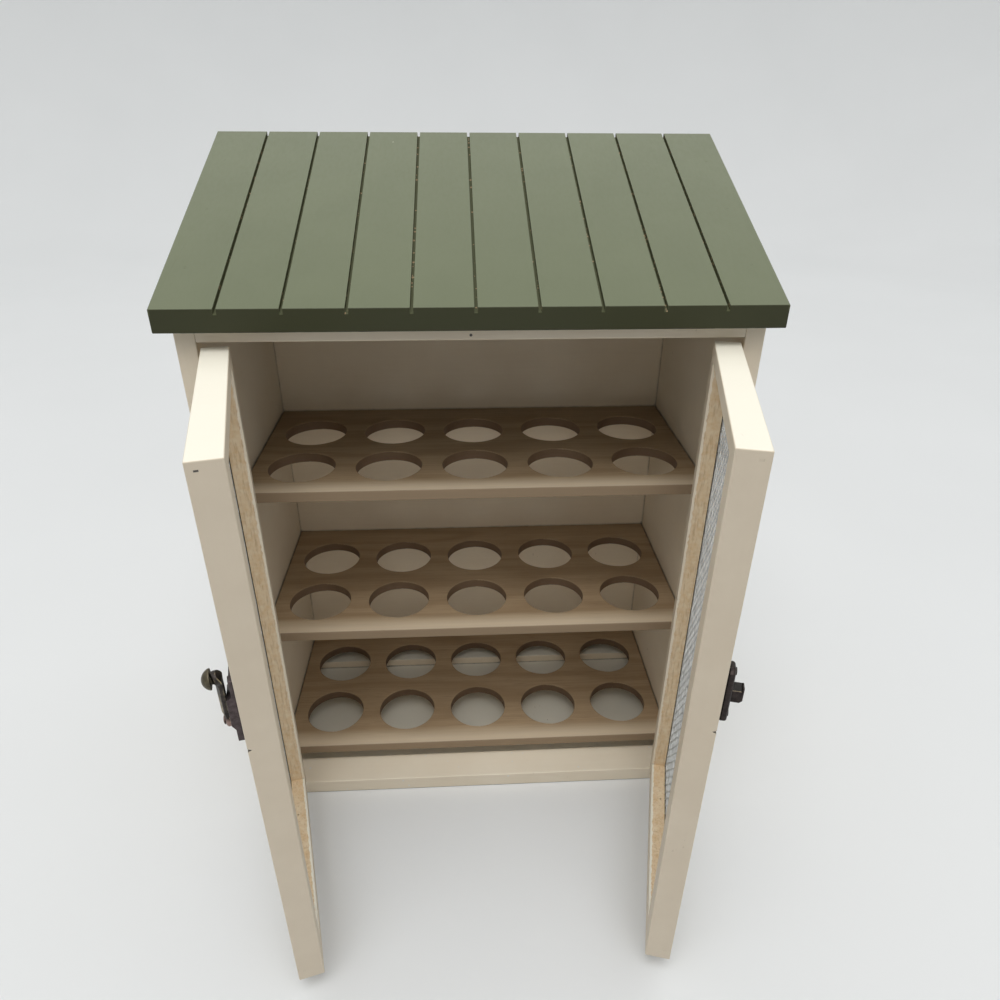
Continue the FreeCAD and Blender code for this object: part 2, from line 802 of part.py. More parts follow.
def lever():
    """Swing lever standing upright, round at both ends, with a domed knob at its top."""
    back = "door_face - lever_face"
    bar_from = ("rivet_u - lever_wide / 2", back, "rivet_z")
    bar = block("lever_bar", ("lever_wide", "lever_thick", "lever_long"), bar_from)
    foot = rod("lever_foot", "lever_end", "lever_thick", ("rivet_u", back, "rivet_z"), Y_AXIS)
    tip_z = "rivet_z + lever_long"
    tip = rod("lever_tip", "lever_end", "lever_thick", ("rivet_u", back, tip_z), Y_AXIS)
    eye = rod("lever_eye", "rivet_radius + pin_fit", "lever_thick", ("rivet_u", back, "rivet_z"), Y_AXIS)
    LEFT.hang(cut("lever_bored", fuse("lever_whole", [bar, foot, tip]), [eye]), "latch_lever")
    neck_from = ("rivet_u", f"{back} - neck_long", tip_z)
    neck = rod("knob_neck", "neck_radius", "neck_long", neck_from, Y_AXIS)
    rim_from = ("rivet_u", f"{back} - neck_long - cap_rim", tip_z)
    rim = rod("knob_rim", "cap_radius", "cap_rim", rim_from, Y_AXIS)
    dome = doc.addObject("Part::Sphere", "knob_dome")
    ball = "((cap_radius ^ 2 + cap_tall ^ 2) / (2 * cap_tall))"
    bind(dome, "Radius", ball)
    bind(dome, "Angle1", f"asin(1 - cap_tall / {ball})")
    turn_to(dome, -Y_AXIS)
    place(dome, ("rivet_u", f"{back} - neck_long - cap_rim - cap_tall + {ball}", tip_z))
    LEFT.hang(fuse("knob_whole", [neck, rim, dome]), "latch_knob")


def keeper():
    """Keeper plate on the right door, with the upturned hook that the lever drops into."""
    middle = "free_edge - keeper_in - keeper_wide / 2"
    foot = "keeper_low"
    top = "keeper_low + keeper_tall"
    ends = [
        (f"{foot} + latch_screw_from_end", "keeper_thick"),
        (f"{top} - latch_screw_from_end", "keeper_thick"),
    ]
    screw_drills = fitting_screws(RIGHT, "keeper_screws", middle, ends)
    low, high = RIGHT.span("free_edge - keeper_in - keeper_wide", "free_edge - keeper_in")
    edges = [
        (f"{low} + keeper_corner", foot),
        (f"{high} - keeper_corner", foot),
        (high, f"{foot} + keeper_corner"),
        (high, f"{top} - keeper_corner"),
        (f"{high} - keeper_corner", top),
        (f"{low} + keeper_corner", top),
        (low, f"{top} - keeper_corner"),
        (low, f"{foot} + keeper_corner"),
    ]
    plate = padded("keeper_flat", "XZ_Plane", edges, "-door_face", "keeper_thick", ease="keeper_ease")
    root = "door_face - keeper_thick / 2"
    reach = "door_face - hook_reach"
    section = [
        (root, "hook_z"),
        (f"{reach} + hook_bevel", "hook_z"),
        (reach, "hook_z + hook_bevel"),
        (reach, "hook_z + hook_tall"),
        (f"{reach} + hook_lip", "hook_z + hook_tall"),
        (f"{reach} + hook_lip", "hook_z + hook_floor"),
        (root, "hook_z + hook_floor"),
    ]
    low, high = RIGHT.span(f"{middle} - hook_wide / 2", f"{middle} + hook_wide / 2")
    hook = padded("keeper_hook", "YZ_Plane", section, low, "hook_wide", ease="latch_ease")
    floor = "hook_z + hook_floor"
    slope = [
        (f"{low} + latch_ease", f"{floor} - latch_ease"),
        (f"{high} - latch_ease", f"{floor} - latch_ease"),
        (f"{high} - latch_ease", f"{floor} + hook_ramp"),
        (f"{low} + latch_ease", floor),
    ]
    ramp = padded("keeper_ramp", "XZ_Plane", slope, f"-({root})", f"{root} - ({reach}) - hook_lip / 2")
    whole = fuse("keeper_whole", [plate, hook, ramp])
    RIGHT.hang(cut("keeper_drilled", whole, screw_drills), "keeper_plate")
    return screw_drills


def door(side, fitting_drills):
    door_frame(side, door_leaves(side), fitting_drills)
    mesh(side)


def check_and_write():
    doc.recompute()
    for thing in doc.Objects:
        if "Invalid" in thing.State or "Error" in thing.State:
            raise RuntimeError(f"{thing.Name} failed: {thing.State}")
    os.makedirs("parts", exist_ok=True)
    for piece in pieces:
        if piece.Shape.isNull() or not piece.Shape.isValid() or not piece.Shape.Solids:
            raise RuntimeError(f"{piece.Label} has no valid shape")
        piece.Shape.exportStep(f"parts/{piece.Label}.step")
        print(f"{piece.Label}: {len(piece.Shape.Solids)} solid(s), {piece.Shape.Volume:.1f} mm3")


fill_sheet()
carcass()
door(LEFT, latch())
door(RIGHT, keeper())
check_and_write()
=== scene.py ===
import math

import bmesh
import bpy
import numpy as np
from mathutils import Matrix, Vector


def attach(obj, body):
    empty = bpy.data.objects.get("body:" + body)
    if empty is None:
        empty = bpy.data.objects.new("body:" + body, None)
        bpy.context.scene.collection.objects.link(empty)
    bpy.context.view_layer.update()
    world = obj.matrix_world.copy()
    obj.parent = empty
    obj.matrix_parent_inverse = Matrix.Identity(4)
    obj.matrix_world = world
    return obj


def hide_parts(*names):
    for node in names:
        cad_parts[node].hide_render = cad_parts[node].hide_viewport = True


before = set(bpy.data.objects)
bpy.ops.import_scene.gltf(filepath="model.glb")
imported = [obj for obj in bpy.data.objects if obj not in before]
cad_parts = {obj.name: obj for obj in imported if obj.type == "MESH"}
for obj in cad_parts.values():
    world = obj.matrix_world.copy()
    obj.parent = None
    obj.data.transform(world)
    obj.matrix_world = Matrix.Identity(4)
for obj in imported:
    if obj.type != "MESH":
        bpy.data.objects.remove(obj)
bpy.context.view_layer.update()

MM = 0.001

# Sizes of the cabinet that the looks need, in metres, as the solids have them.
PIN_X = 134.5 * MM
PIN_Y = -75.3 * MM
LEFT_OPEN = math.radians(75.7)
RIGHT_OPEN = math.radians(75.3)
DOOR_OUTER = 1.8 * MM
DOOR_INNER = 15.0 * MM
DOOR_MIDDLE = 164.0 * MM
FREE_EDGE = 133.0 * MM
NICK_UP = 183.0 * MM
NICK_HALF = 1.2 * MM
NICK_LONG = 4.2 * MM
NICK_DEEP = 2.2 * MM
OPENING_ACROSS = (13.0 * MM, 120.5 * MM)
OPENING_UP = (26.8 * MM, 308.8 * MM)
KERF_DEEP = 2.5 * MM
KERF_HALF = 0.66 * MM
MESH_DEEP = 5.75 * MM
MESH_REACH = 2.1 * MM
ROOF_SLOPE = math.radians(23.5)
ROOF_THICK = 10.6 * MM
WALL_FRONT = -73.5 * MM
WALL_TOP = 329.5 * MM
PLANK_PITCH = 30.1 * MM
GROOVE_HALF = 0.8 * MM
GROOVE_DEEP = 2.4 * MM
SHELF_FRONT = -56.0 * MM
KEEPER_THICK = 3.2 * MM
HOOK_FLOOR = 204.1 * MM
HOOK_NEAR = 129.5 * MM
RIVET_ACROSS = 126.0 * MM
RIVET_UP = 196.3 * MM
RIVET_SEAT = 3.95 * MM
RIVET_STEM = 1.3 * MM
LEVER_LOW = 4.3 * MM
LEVER_HIGH = 7.2 * MM
LEVER_LONG = 22.4 * MM
LEVER_HALF = 2.3 * MM
LEVER_END = 3.2 * MM

# Sizes of the pieces that the scene makes: netting, lever and rivet.
NET_WIRE = 0.22 * MM
NET_CELL = 5.6 * MM
NET_TWIST = 1.7 * MM
NET_WANDER = 0.35 * MM
NET_TURN_STEPS = 4
NET_SIDES = 4
FOOT_THINNER = 0.7 * MM
TOE_DROP = 0.6 * MM
BOSS_RISE = 1.2 * MM
TIP_LIFT = 1.9 * MM
RIDGE_FROM = 3.0 * MM
RIDGE_SHARP = 1.3
RIDGE_BLUNT = 3.0
FLANK_SHOULDER = 0.55
FLANK_STEPS = 5
LEVER_STEPS = 30
RIVET_FIT = 0.12 * MM
RIVET_DRILL = (3.0 * MM, 8.0 * MM)
RIVET_WASHER = 2.2 * MM
RIVET_HEAD = 2.0 * MM
RIVET_UNDER_HEAD = 6.58 * MM
RIVET_RIM = 6.75 * MM
RIVET_DOME = 0.55 * MM
WASHER_GAP = 0.05 * MM
ROUND_SIDES = 32
CRISP_ANGLE = math.radians(38)

# Studio: a paper floor that curves up into a round backdrop.
FLOOR_FLAT = 2.0
FLOOR_STEPS = 5
COVE_RADIUS = 1.1
COVE_STEPS = 16
BACKDROP_TOP = 1.6
FLOOR_SIDES = 96
FLOOR_DROP = 0.2 * MM
SKY_LIGHT = 0.12
SKY_SEEN = 0.56
# Each lamp: its name, width in metres, watts, place and the spot that it faces.
LAMPS = (
    ("ceiling_softbox", 8.2, 140.0, (0.0, 0.0, 2.3), (0.0, 0.0, 0.0)),
    ("front_softbox", 1.2, 14.0, (-0.10, -0.78, 1.97), (0.0, -0.10, 0.20)),
)

# The photograph's camera.
CAMERA_SPOT = (-0.008295, -0.42318, 0.420003)
CAMERA_YAW = math.radians(-3.391)
CAMERA_PITCH = math.radians(28.69)
CAMERA_ROLL = math.radians(0.411)
CAMERA_LENS = 26.04
CAMERA_SENSOR = 36.0
CAMERA_NEAR = 0.02
CAMERA_FAR = 50.0

# Finishes, as linear colours.
CREAM = (0.855, 0.765, 0.615, 1)
CREAM_SHADE = (0.815, 0.715, 0.56, 1)
CREAM_THIN = (0.72, 0.59, 0.42, 1)
# A whiter cream for faces that point up: a painted highlight.
CREAM_PAINTED_HIGHLIGHT = (0.862, 0.835, 0.715, 1)
# A darker cream for the free end faces of the doors: painted shade, with some grime from hands.
CREAM_END_GRIME_AND_SHADE = (0.66, 0.56, 0.43, 1)
# A lighter, warmer cream for the back panel and back rail: painted light standing in for the warm light
# bounced inside the box.
BACK_CREAM_PAINTED_LIGHT = (0.90, 0.785, 0.61, 1)
BACK_SHADE_PAINTED_LIGHT = (0.85, 0.73, 0.555, 1)
SAGE = (0.036, 0.038, 0.014, 1)
# A lighter sage for faces that point up: a painted sheen.
SAGE_PAINTED_SHEEN = (0.131, 0.150, 0.082, 1)
SAGE_PAINTED_SHEEN_SHADE = (0.121, 0.139, 0.075, 1)
SAGE_GROOVE = (0.088, 0.094, 0.046, 1)
SAGE_RUBBED = (0.20, 0.185, 0.12, 1)
CRUMB_BROWN = (0.36, 0.26, 0.15, 1)
BOARD_TAN = (0.72, 0.52, 0.30, 1)
BOARD_DARK = (0.27, 0.17, 0.09, 1)
BOARD_PALE = (0.80, 0.66, 0.46, 1)
BOARD_FIBRE = (0.50, 0.33, 0.18, 1)
NICK_DARK = (0.075, 0.055, 0.032, 1)
PANEL_GREY = (0.44, 0.42, 0.39, 1)
PANEL_SHADE = (0.36, 0.34, 0.31, 1)
SHELF_PALE = (0.42, 0.305, 0.185, 1)
SHELF_BROWN = (0.35, 0.245, 0.142, 1)
SHELF_DARK = (0.23, 0.155, 0.09, 1)
# A pale wood tone for the front strip of a shelf: painted light.
SHELF_FRONT_PAINTED_LIGHT = (0.78, 0.66, 0.49, 1)
# A near black brown for the walls of the egg holes: painted shade.
SHELF_HOLE_SHADE = (0.12, 0.072, 0.042, 1)
DUST = (0.80, 0.77, 0.70, 1)
# A dark brown laid into inside corners and into the kerf: painted shade.
PAINTED_SHADE_DARK = (0.045, 0.036, 0.027, 1)
BRONZE = (0.060, 0.050, 0.042, 1)
BRONZE_DARK = (0.026, 0.022, 0.020, 1)
BRONZE_BROWN = (0.042, 0.031, 0.028, 1)
BRONZE_BROWN_DARK = (0.018, 0.013, 0.012, 1)
BRONZE_PURPLE = (0.105, 0.080, 0.080, 1)
BRONZE_PURPLE_DARK = (0.055, 0.042, 0.042, 1)
BRONZE_OLIVE = (0.125, 0.108, 0.066, 1)
BRONZE_OLIVE_DARK = (0.060, 0.050, 0.034, 1)
BRASS_WORN = (0.52, 0.43, 0.26, 1)
COPPER_WORN = (0.30, 0.20, 0.17, 1)
HOLLOW_BLACK = (0.008, 0.007, 0.006, 1)
WIRE_GREY = (0.70, 0.71, 0.69, 1)
WIRE_DULL = (0.45, 0.455, 0.44, 1)
NAIL_GREY = (0.20, 0.18, 0.16, 1)
NAIL_DARK = (0.055, 0.045, 0.036, 1)
NAIL_PAINTED = (0.735, 0.64, 0.50, 1)
NAIL_PAINTED_SHADE = (0.69, 0.59, 0.46, 1)
PAPER = (0.77, 0.785, 0.785, 1)
PAPER_SHADE = (0.75, 0.765, 0.765, 1)
PAPER_LIT_NEAR = (0.52, 0.525, 0.525, 1)
PAPER_LIT_FAR = (0.34, 0.345, 0.345, 1)
PAPER_GLOW = (0.09, 0.093, 0.093, 1)
NO_GLOW = (0, 0, 0, 1)
WHITE = (1, 1, 1, 1)

# How strongly marks, painted shade and painted highlights show on a finish, from none at 0 to full at 1.
CORNER_SHADE_SHOWS = 0.75
SCUFFS_SHOW = 0.6
CHIPS_SHOW = 0.7
KERF_SHADE_SHOWS = 0.8
ROOF_DUST_SHOWS = 0.5
FIBRES_SHOW = 0.35
PORES_SHOW = 0.45
SHELF_RUB_SHOWS = 0.5
HOLE_SHADE_SHOWS = 0.85
RIM_RUB_AND_HIGHLIGHT_SHOWS = 0.6


class Wiring:
    """A node tree being filled: places nodes, sets their sockets and joins them."""

    def __init__(self, tree):
        self.tree = tree

    def node(self, kind, sockets=None, **settings):
        made = self.tree.nodes.new(kind)
        for setting, value in settings.items():
            setattr(made, setting, value)
        for socket, value in (sockets or {}).items():
            self.feed(made.inputs[socket], value)
        return made

    def feed(self, socket, value):
        if isinstance(value, bpy.types.NodeSocket):
            self.tree.links.new(value, socket)
        else:
            socket.default_value = value

    def work_out(self, operation, *terms, clamp=False):
        made = self.node("ShaderNodeMath", dict(enumerate(terms)), operation=operation)
        made.use_clamp = clamp
        return made.outputs[0]

    def times(self, first, *others, clamp=False):
        for other in others:
            first = self.work_out("MULTIPLY", first, other, clamp=clamp)
        return first

    def times_plus(self, first, factor, added, clamp=False):
        return self.work_out("MULTIPLY_ADD", first, factor, added, clamp=clamp)

    def minus(self, first, second):
        return self.work_out("SUBTRACT", first, second)

    def most(self, first, second):
        return self.work_out("MAXIMUM", first, second)

    def apart_from(self, value, middle):
        return self.work_out("ABSOLUTE", self.minus(value, middle))

    def under(self, value, limit):
        return self.work_out("LESS_THAN", value, limit)

    def over(self, value, limit):
        return self.work_out("GREATER_THAN", value, limit)

    def span(self, value, low, high, to_low=0.0, to_high=1.0):
        made = self.node("ShaderNodeMapRange", {"Value": value, "From Min": low, "From Max": high})
        self.feed(made.inputs["To Min"], to_low)
        self.feed(made.inputs["To Max"], to_high)
        return made.outputs["Result"]

    def step(self, value, low, high):
        sockets = {"Value": value, "From Min": low, "From Max": high}
        made = self.node("ShaderNodeMapRange", sockets, interpolation_type="SMOOTHSTEP")
        return made.outputs["Result"]

    def blend(self, share, first, second):
        made = self.node("ShaderNodeMix", data_type="RGBA")
        self.feed(made.inputs[0], share)
        self.feed(made.inputs[6], first)
        self.feed(made.inputs[7], second)
        return made.outputs[2]

    def axes(self, vector):
        return self.node("ShaderNodeSeparateXYZ", {"Vector": vector}).outputs

    def stretch(self, vector, scale, shift=(0, 0, 0)):
        sockets = {"Vector": vector, "Location": shift, "Scale": scale}
        return self.node("ShaderNodeMapping", sockets).outputs["Vector"]

    def noise(self, vector, per_metre, detail=2.0, rough=0.5):
        sockets = {"Vector": vector, "Scale": per_metre, "Detail": detail, "Roughness": rough}
        return self.node("ShaderNodeTexNoise", sockets).outputs["Fac"]

    def streaks(self, vector, per_metre, detail=2.0, rough=0.5):
        return self.noise(self.stretch(vector, per_metre), 1.0, detail, rough)

    def facing_up(self):
        facing = self.node("ShaderNodeNewGeometry").outputs["True Normal"]
        return self.axes(facing)["Z"]

    def effect(self, group, sockets):
        return self.node("ShaderNodeGroup", sockets, node_tree=group).outputs


def effect_group(name, inputs, outputs):
    """An empty shader node group with named sockets, and the wiring to fill it with."""
    group = bpy.data.node_groups.new(name, "ShaderNodeTree")
    for label, start in inputs.items():
        kind = "NodeSocketVector" if start is None else "NodeSocketFloat"
        socket = group.interface.new_socket(label, in_out="INPUT", socket_type=kind)
        if start is not None:
            socket.default_value = start
    for label in outputs:
        group.interface.new_socket(label, in_out="OUTPUT", socket_type="NodeSocketFloat")
    wiring = Wiring(group)
    given = wiring.node("NodeGroupInput").outputs
    result = wiring.node("NodeGroupOutput").inputs
    return group, wiring, given, result


def edge_wear_group():
    """Where a finish is rubbed off: a broken band along the outer edges of a piece."""
    inputs = {"Place": None, "Reach": 1 * MM, "Amount": 0.5, "Patch Size": 60.0}
    group, wiring, given, result = effect_group("edge_wear", inputs, ["Rubbed"])
    rounded = wiring.node("ShaderNodeBevel", {"Radius": given["Reach"]}, samples=8)
    facing = wiring.node("ShaderNodeNewGeometry").outputs["Normal"]
    both = {0: rounded.outputs["Normal"], 1: facing}
    alike = wiring.node("ShaderNodeVectorMath", both, operation="DOT_PRODUCT").outputs["Value"]
    edge = wiring.span(alike, 0.998, 0.80)
    patches = wiring.noise(given["Place"], given["Patch Size"], detail=3.0, rough=0.6)
    nicks = wiring.noise(given["Place"], 900.0, rough=0.6)
    broken = wiring.times_plus(nicks, 0.35, patches)
    threshold = wiring.span(given["Amount"], 0.0, 1.0, 1.30, 0.45)
    showing = wiring.span(wiring.minus(broken, threshold), -0.05, 0.08)
    wiring.feed(result["Rubbed"], wiring.times(edge, showing, clamp=True))
    return group


def paint_film_group():
    """A thin brushed paint: patches of tone, and brush lines with a fine stipple for the bump."""
    inputs = {"Place": None, "Brushed": None}
    group, wiring, given, result = effect_group("paint_film", inputs, ["Tone", "Lines", "Height"])
    patches = wiring.noise(given["Place"], 26.0, detail=3.0, rough=0.55)
    lines = wiring.noise(given["Brushed"], 520.0, detail=3.0, rough=0.6)
    stipple = wiring.noise(given["Place"], 1500.0)
    height = wiring.times_plus(stipple, 0.45, wiring.times(lines, 0.55))
    wiring.feed(result["Tone"], wiring.span(patches, 0.30, 0.70))
    wiring.feed(result["Lines"], wiring.span(lines, 0.35, 0.65))
    wiring.feed(result["Height"], height)
    return group


def board_grain_group():
    """Sawn wood with its grain along X: growth bands, fibres and dark pores."""
    inputs = {"Place": None, "Band Pitch": 11 * MM}
    group, wiring, given, result = effect_group("board_grain", inputs, ["Bands", "Fibres", "Pores"])
    bend = wiring.streaks(given["Place"], (5.0, 26.0, 26.0))
    apart = wiring.axes(given["Place"])
    deep = wiring.times_plus(apart["Z"], 0.6, apart["Y"])
    turns = wiring.work_out("DIVIDE", deep, given["Band Pitch"])
    turns = wiring.times_plus(bend, 9.0, turns)
    wave = wiring.work_out("SINE", wiring.times(turns, math.pi))
    bands = wiring.work_out("POWER", wiring.span(wave, -1.0, 1.0), 1.8)
    fibres = wiring.streaks(given["Place"], (14.0, 620.0, 620.0), detail=4.0, rough=0.6)
    dashes = wiring.streaks(given["Place"], (70.0, 1700.0, 1700.0), detail=1.0)
    wiring.feed(result["Bands"], bands)
    wiring.feed(result["Fibres"], wiring.span(fibres, 0.30, 0.70))
    wiring.feed(result["Pores"], wiring.step(dashes, 0.60, 0.72))
    return group


def specks_group():
    """Loose specks: small round dots in some of the cells of a scattered pattern."""
    inputs = {"Place": None, "Cells": 200.0, "Share": 0.1, "Dot": 0.2}
    group, wiring, given, result = effect_group("specks", inputs, ["Specks"])
    cells = wiring.node("ShaderNodeTexVoronoi", {"Vector": given["Place"], "Scale": given["Cells"]})
    lot = wiring.node("ShaderNodeSeparateColor", {"Color": cells.outputs["Color"]}).outputs
    chosen = wiring.under(lot["Red"], given["Share"])
    size = wiring.times(given["Dot"], wiring.work_out("ADD", lot["Green"], 0.35))
    inside = wiring.under(cells.outputs["Distance"], size)
    wiring.feed(result["Specks"], wiring.times(chosen, inside))
    return group


def scuffs_group():
    """A few short scuffs where something hard has dragged over a finish."""
    group, wiring, given, result = effect_group("scuffs", {"Place": None}, ["Scuffs"])
    drawn = wiring.streaks(given["Place"], (800.0, 130.0, 260.0), rough=0.6)
    sparse = wiring.noise(given["Place"], 34.0, detail=1.0)
    dashes = wiring.times(wiring.step(drawn, 0.66, 0.72), wiring.step(sparse, 0.68, 0.74))
    wiring.feed(result["Scuffs"], dashes)
    return group


def corner_grime_and_shade_group():
    """Darkening in inside corners, from how closed in a spot is, broken up by a soft noise: painted shade
    on the cabinet and shelves, black patina on the bronze.
    """
    inputs = {"Place": None, "Reach": 6 * MM}
    group, wiring, given, result = effect_group("corner_grime_and_shade", inputs, ["Dirt"])
    closed = wiring.node("ShaderNodeAmbientOcclusion", {"Distance": given["Reach"]}, samples=6)
    dark = wiring.span(closed.outputs["AO"], 0.68, 0.50)
    patches = wiring.noise(given["Place"], 120.0, detail=3.0, rough=0.6)
    thin = wiring.span(patches, 0.25, 0.75, 0.35, 1.0)
    wiring.feed(result["Dirt"], wiring.times(dark, thin, clamp=True))
    return group


def raw_edge_group():
    """The unpainted inner edge of a door frame and its saw kerf, in the door's own frame."""
    inputs = {"In Door": None, "Paint Wrap": 1.25 * MM}
    group, wiring, given, result = effect_group("raw_edge", inputs, ["Raw", "Kerf"])
    apart = wiring.axes(given["In Door"])
    outside = []
    for axis, (low, high) in (("X", OPENING_ACROSS), ("Z", OPENING_UP)):
        off = wiring.apart_from(apart[axis], (low + high) / 2)
        outside.append(wiring.minus(off, (high - low) / 2))
    beyond = wiring.most(*outside)
    on_edge = wiring.span(beyond, 0.40 * MM, 0.25 * MM)
    off_middle = wiring.apart_from(apart["Y"], (DOOR_OUTER + DOOR_INNER) / 2)
    to_face = wiring.minus((DOOR_INNER - DOOR_OUTER) / 2, off_middle)
    ragged = wiring.noise(given["In Door"], 330.0, detail=4.0, rough=0.65)
    wrap = wiring.times(given["Paint Wrap"], wiring.span(ragged, 0.25, 0.75, 0.55, 1.45))
    inside = wiring.span(wiring.minus(to_face, wrap), -0.10 * MM, 0.10 * MM)
    off_kerf = wiring.apart_from(apart["Y"], MESH_DEEP)
    kerf = wiring.span(off_kerf, KERF_HALF + 0.14 * MM, KERF_HALF)
    near = wiring.span(beyond, KERF_DEEP + 0.2 * MM, KERF_DEEP + 0.1 * MM)
    kerf = wiring.times(kerf, near)
    wiring.feed(result["Raw"], wiring.most(wiring.times(on_edge, inside), kerf))
    wiring.feed(result["Kerf"], kerf)
    return group


EDGE_WEAR = edge_wear_group()
PAINT_FILM = paint_film_group()
BOARD_GRAIN = board_grain_group()
SPECKS = specks_group()
SCUFFS = scuffs_group()
CORNER_GRIME_AND_SHADE = corner_grime_and_shade_group()
RAW_EDGE = raw_edge_group()


def finish_of(name):
    """A new material, its wiring, its shader and the place on the object in the row frame."""
    made = bpy.data.materials.new(name)
    made.use_nodes = True
    made.node_tree.nodes.clear()
    wiring = Wiring(made.node_tree)
    shader = wiring.node("ShaderNodeBsdfPrincipled")
    surface = wiring.node("ShaderNodeOutputMaterial")
    wiring.feed(surface.inputs["Surface"], shader.outputs["BSDF"])
    place = wiring.node("ShaderNodeTexCoord").outputs["Object"]
    return made, wiring, shader.inputs, place


def bump(wiring, height, strength, distance):
    sockets = {"Height": height, "Strength": strength, "Distance": distance}
    return wiring.node("ShaderNodeBump", sockets).outputs["Normal"]


def in_door_frame(wiring, place, door):
    """A place on an open door, in the door's own frame: across from its pins, deep, and up."""
    sockets = {"Vector": place, "Location": (-PIN_X, PIN_Y, 0), "Rotation": (0, 0, -LEFT_OPEN)}
    if door == "right":
        sockets["Location"] = (PIN_X, PIN_Y, 0)
        sockets["Rotation"] = (0, 0, RIGHT_OPEN)
        sockets["Scale"] = (-1, 1, 1)
    return wiring.node("ShaderNodeMapping", sockets, vector_type="TEXTURE").outputs["Vector"]


def proud(height):
    """Depth, in a door's own frame, of what stands that far out from its outer face."""
    return DOOR_OUTER - height


BRUSHED = {"x": (0.05, 1, 1), "y": (1, 0.05, 1), "z": (1, 1, 0.05)}


def cream_paint(name, brushed, wear=0.35, specks=0.0, door=None, tones=(CREAM_SHADE, CREAM), top_highlight=0.85):
    """Thin cream paint over board, rubbed at its edges; a door's inner edges stay raw board."""
    made, wiring, shader, place = finish_of(name)
    along = wiring.stretch(place, BRUSHED[brushed])
    film = wiring.effect(PAINT_FILM, {"Place": place, "Brushed": along})
    edges = {"Place": place, "Reach": 1.3 * MM, "Amount": wear, "Patch Size": 70.0}
    worn = wiring.effect(EDGE_WEAR, edges)
    grime_and_shade = wiring.effect(CORNER_GRIME_AND_SHADE, {"Place": place, "Reach": 2.5 * MM})["Dirt"]
    colour = wiring.blend(film["Tone"], *tones)
    faint = wiring.span(film["Lines"], 0.0, 1.0, 0.10, 0.0)
    colour = wiring.blend(faint, colour, CREAM_THIN)
    # Faces that point up are painted whiter, as much as the top highlight share says: a painted
    # highlight.
    highlighted_top = wiring.step(wiring.facing_up(), 0.7, 0.95)
    colour = wiring.blend(wiring.times(highlighted_top, top_highlight), colour, CREAM_PAINTED_HIGHLIGHT)
    if specks:
        sown = {"Place": place, "Cells": 260.0, "Share": specks, "Dot": 0.16}
        colour = wiring.blend(wiring.effect(SPECKS, sown)["Specks"], colour, DUST)
    spots = {"Place": place, "Cells": 75.0, "Share": 0.05, "Dot": 0.045}
    marks = wiring.effect(SPECKS, spots)["Specks"]
    marks = wiring.most(marks, wiring.effect(SCUFFS, {"Place": place})["Scuffs"])
    colour = wiring.blend(wiring.times(marks, SCUFFS_SHOW), colour, BOARD_DARK)
    colour = wiring.blend(worn["Rubbed"], colour, BOARD_TAN)
    # Inside corners are darkened: painted shade.
    colour = wiring.blend(wiring.times(grime_and_shade, CORNER_SHADE_SHOWS), colour, PAINTED_SHADE_DARK)
    rough = wiring.span(film["Lines"], 0.0, 1.0, 0.46, 0.58)
    height = film["Height"]
    if door:
        in_door = in_door_frame(wiring, place, door)
        # The free end face is darkened: painted shade, with some grime from hands.
        colour = wiring.blend(end_grime_and_shade(wiring, place, in_door), colour, CREAM_END_GRIME_AND_SHADE)
        raw = wiring.effect(RAW_EDGE, {"In Door": in_door, "Paint Wrap": 1.25 * MM})
        colour, rough, height = raw_board(wiring, in_door, raw, colour, rough, height)
        colour = wiring.blend(in_nick(wiring, in_door), colour, NICK_DARK)
    wiring.feed(shader["Base Color"], colour)
    wiring.feed(shader["Roughness"], rough)
    wiring.feed(shader["Normal"], bump(wiring, height, strength=0.35, distance=0.10 * MM))
    return made


def end_grime_and_shade(wiring, place, in_door):
    """The free end face of a door, darker in uneven patches: painted shade, with some grime from hands.
    """
    end = wiring.span(wiring.axes(in_door)["X"], FREE_EDGE - 0.3 * MM, FREE_EDGE - 0.05 * MM)
    smears = wiring.noise(place, 45.0, detail=3.0, rough=0.6)
    return wiring.times(end, wiring.span(smears, 0.3, 0.7, 0.48, 0.68))


def raw_board(wiring, in_door, raw, colour, rough, height):
    """Bare fibreboard laid into a painted finish where the raw mask says."""
    fuzz = wiring.noise(in_door, 1100.0, detail=3.0, rough=0.7)
    clumps = wiring.noise(in_door, 240.0, detail=3.0, rough=0.6)
    fibres = wiring.streaks(in_door, (900.0, 900.0, 130.0), detail=3.0, rough=0.6)
    board = wiring.blend(wiring.span(clumps, 0.30, 0.70), BOARD_TAN, BOARD_PALE)
    board = wiring.blend(wiring.span(fibres, 0.50, 0.75, 0.0, 0.7), board, BOARD_FIBRE)
    chips = wiring.effect(SPECKS, {"Place": in_door, "Cells": 420.0, "Share": 0.07, "Dot": 0.22})
    board = wiring.blend(wiring.times(chips["Specks"], CHIPS_SHOW), board, BOARD_DARK)
    # The kerf's mouth is darkened: painted shade.
    board = wiring.blend(wiring.times(raw["Kerf"], KERF_SHADE_SHOWS), board, PAINTED_SHADE_DARK)
    colour = wiring.blend(raw["Raw"], colour, board)
    rough = wiring.times_plus(raw["Raw"], 0.35, rough, clamp=True)
    height = wiring.work_out("ADD", height, wiring.times(fuzz, 2.0, raw["Raw"]))
    return colour, rough, height


def in_nick(wiring, in_door):
    """Where a place lies in the V cut at a free stile's outer corner, below the latch."""
    apart = wiring.axes(in_door)
    near = wiring.under(wiring.apart_from(apart["Z"], NICK_UP), NICK_HALF)
    behind_end = wiring.under(apart["X"], FREE_EDGE - 0.1 * MM)
    toward_end = wiring.over(apart["X"], FREE_EDGE - NICK_LONG)
    below_face = wiring.over(apart["Y"], DOOR_OUTER + 0.1 * MM)
    shallow = wiring.under(apart["Y"], DOOR_OUTER + NICK_DEEP)
    return wiring.times(near, behind_end, toward_end, below_face, shallow)


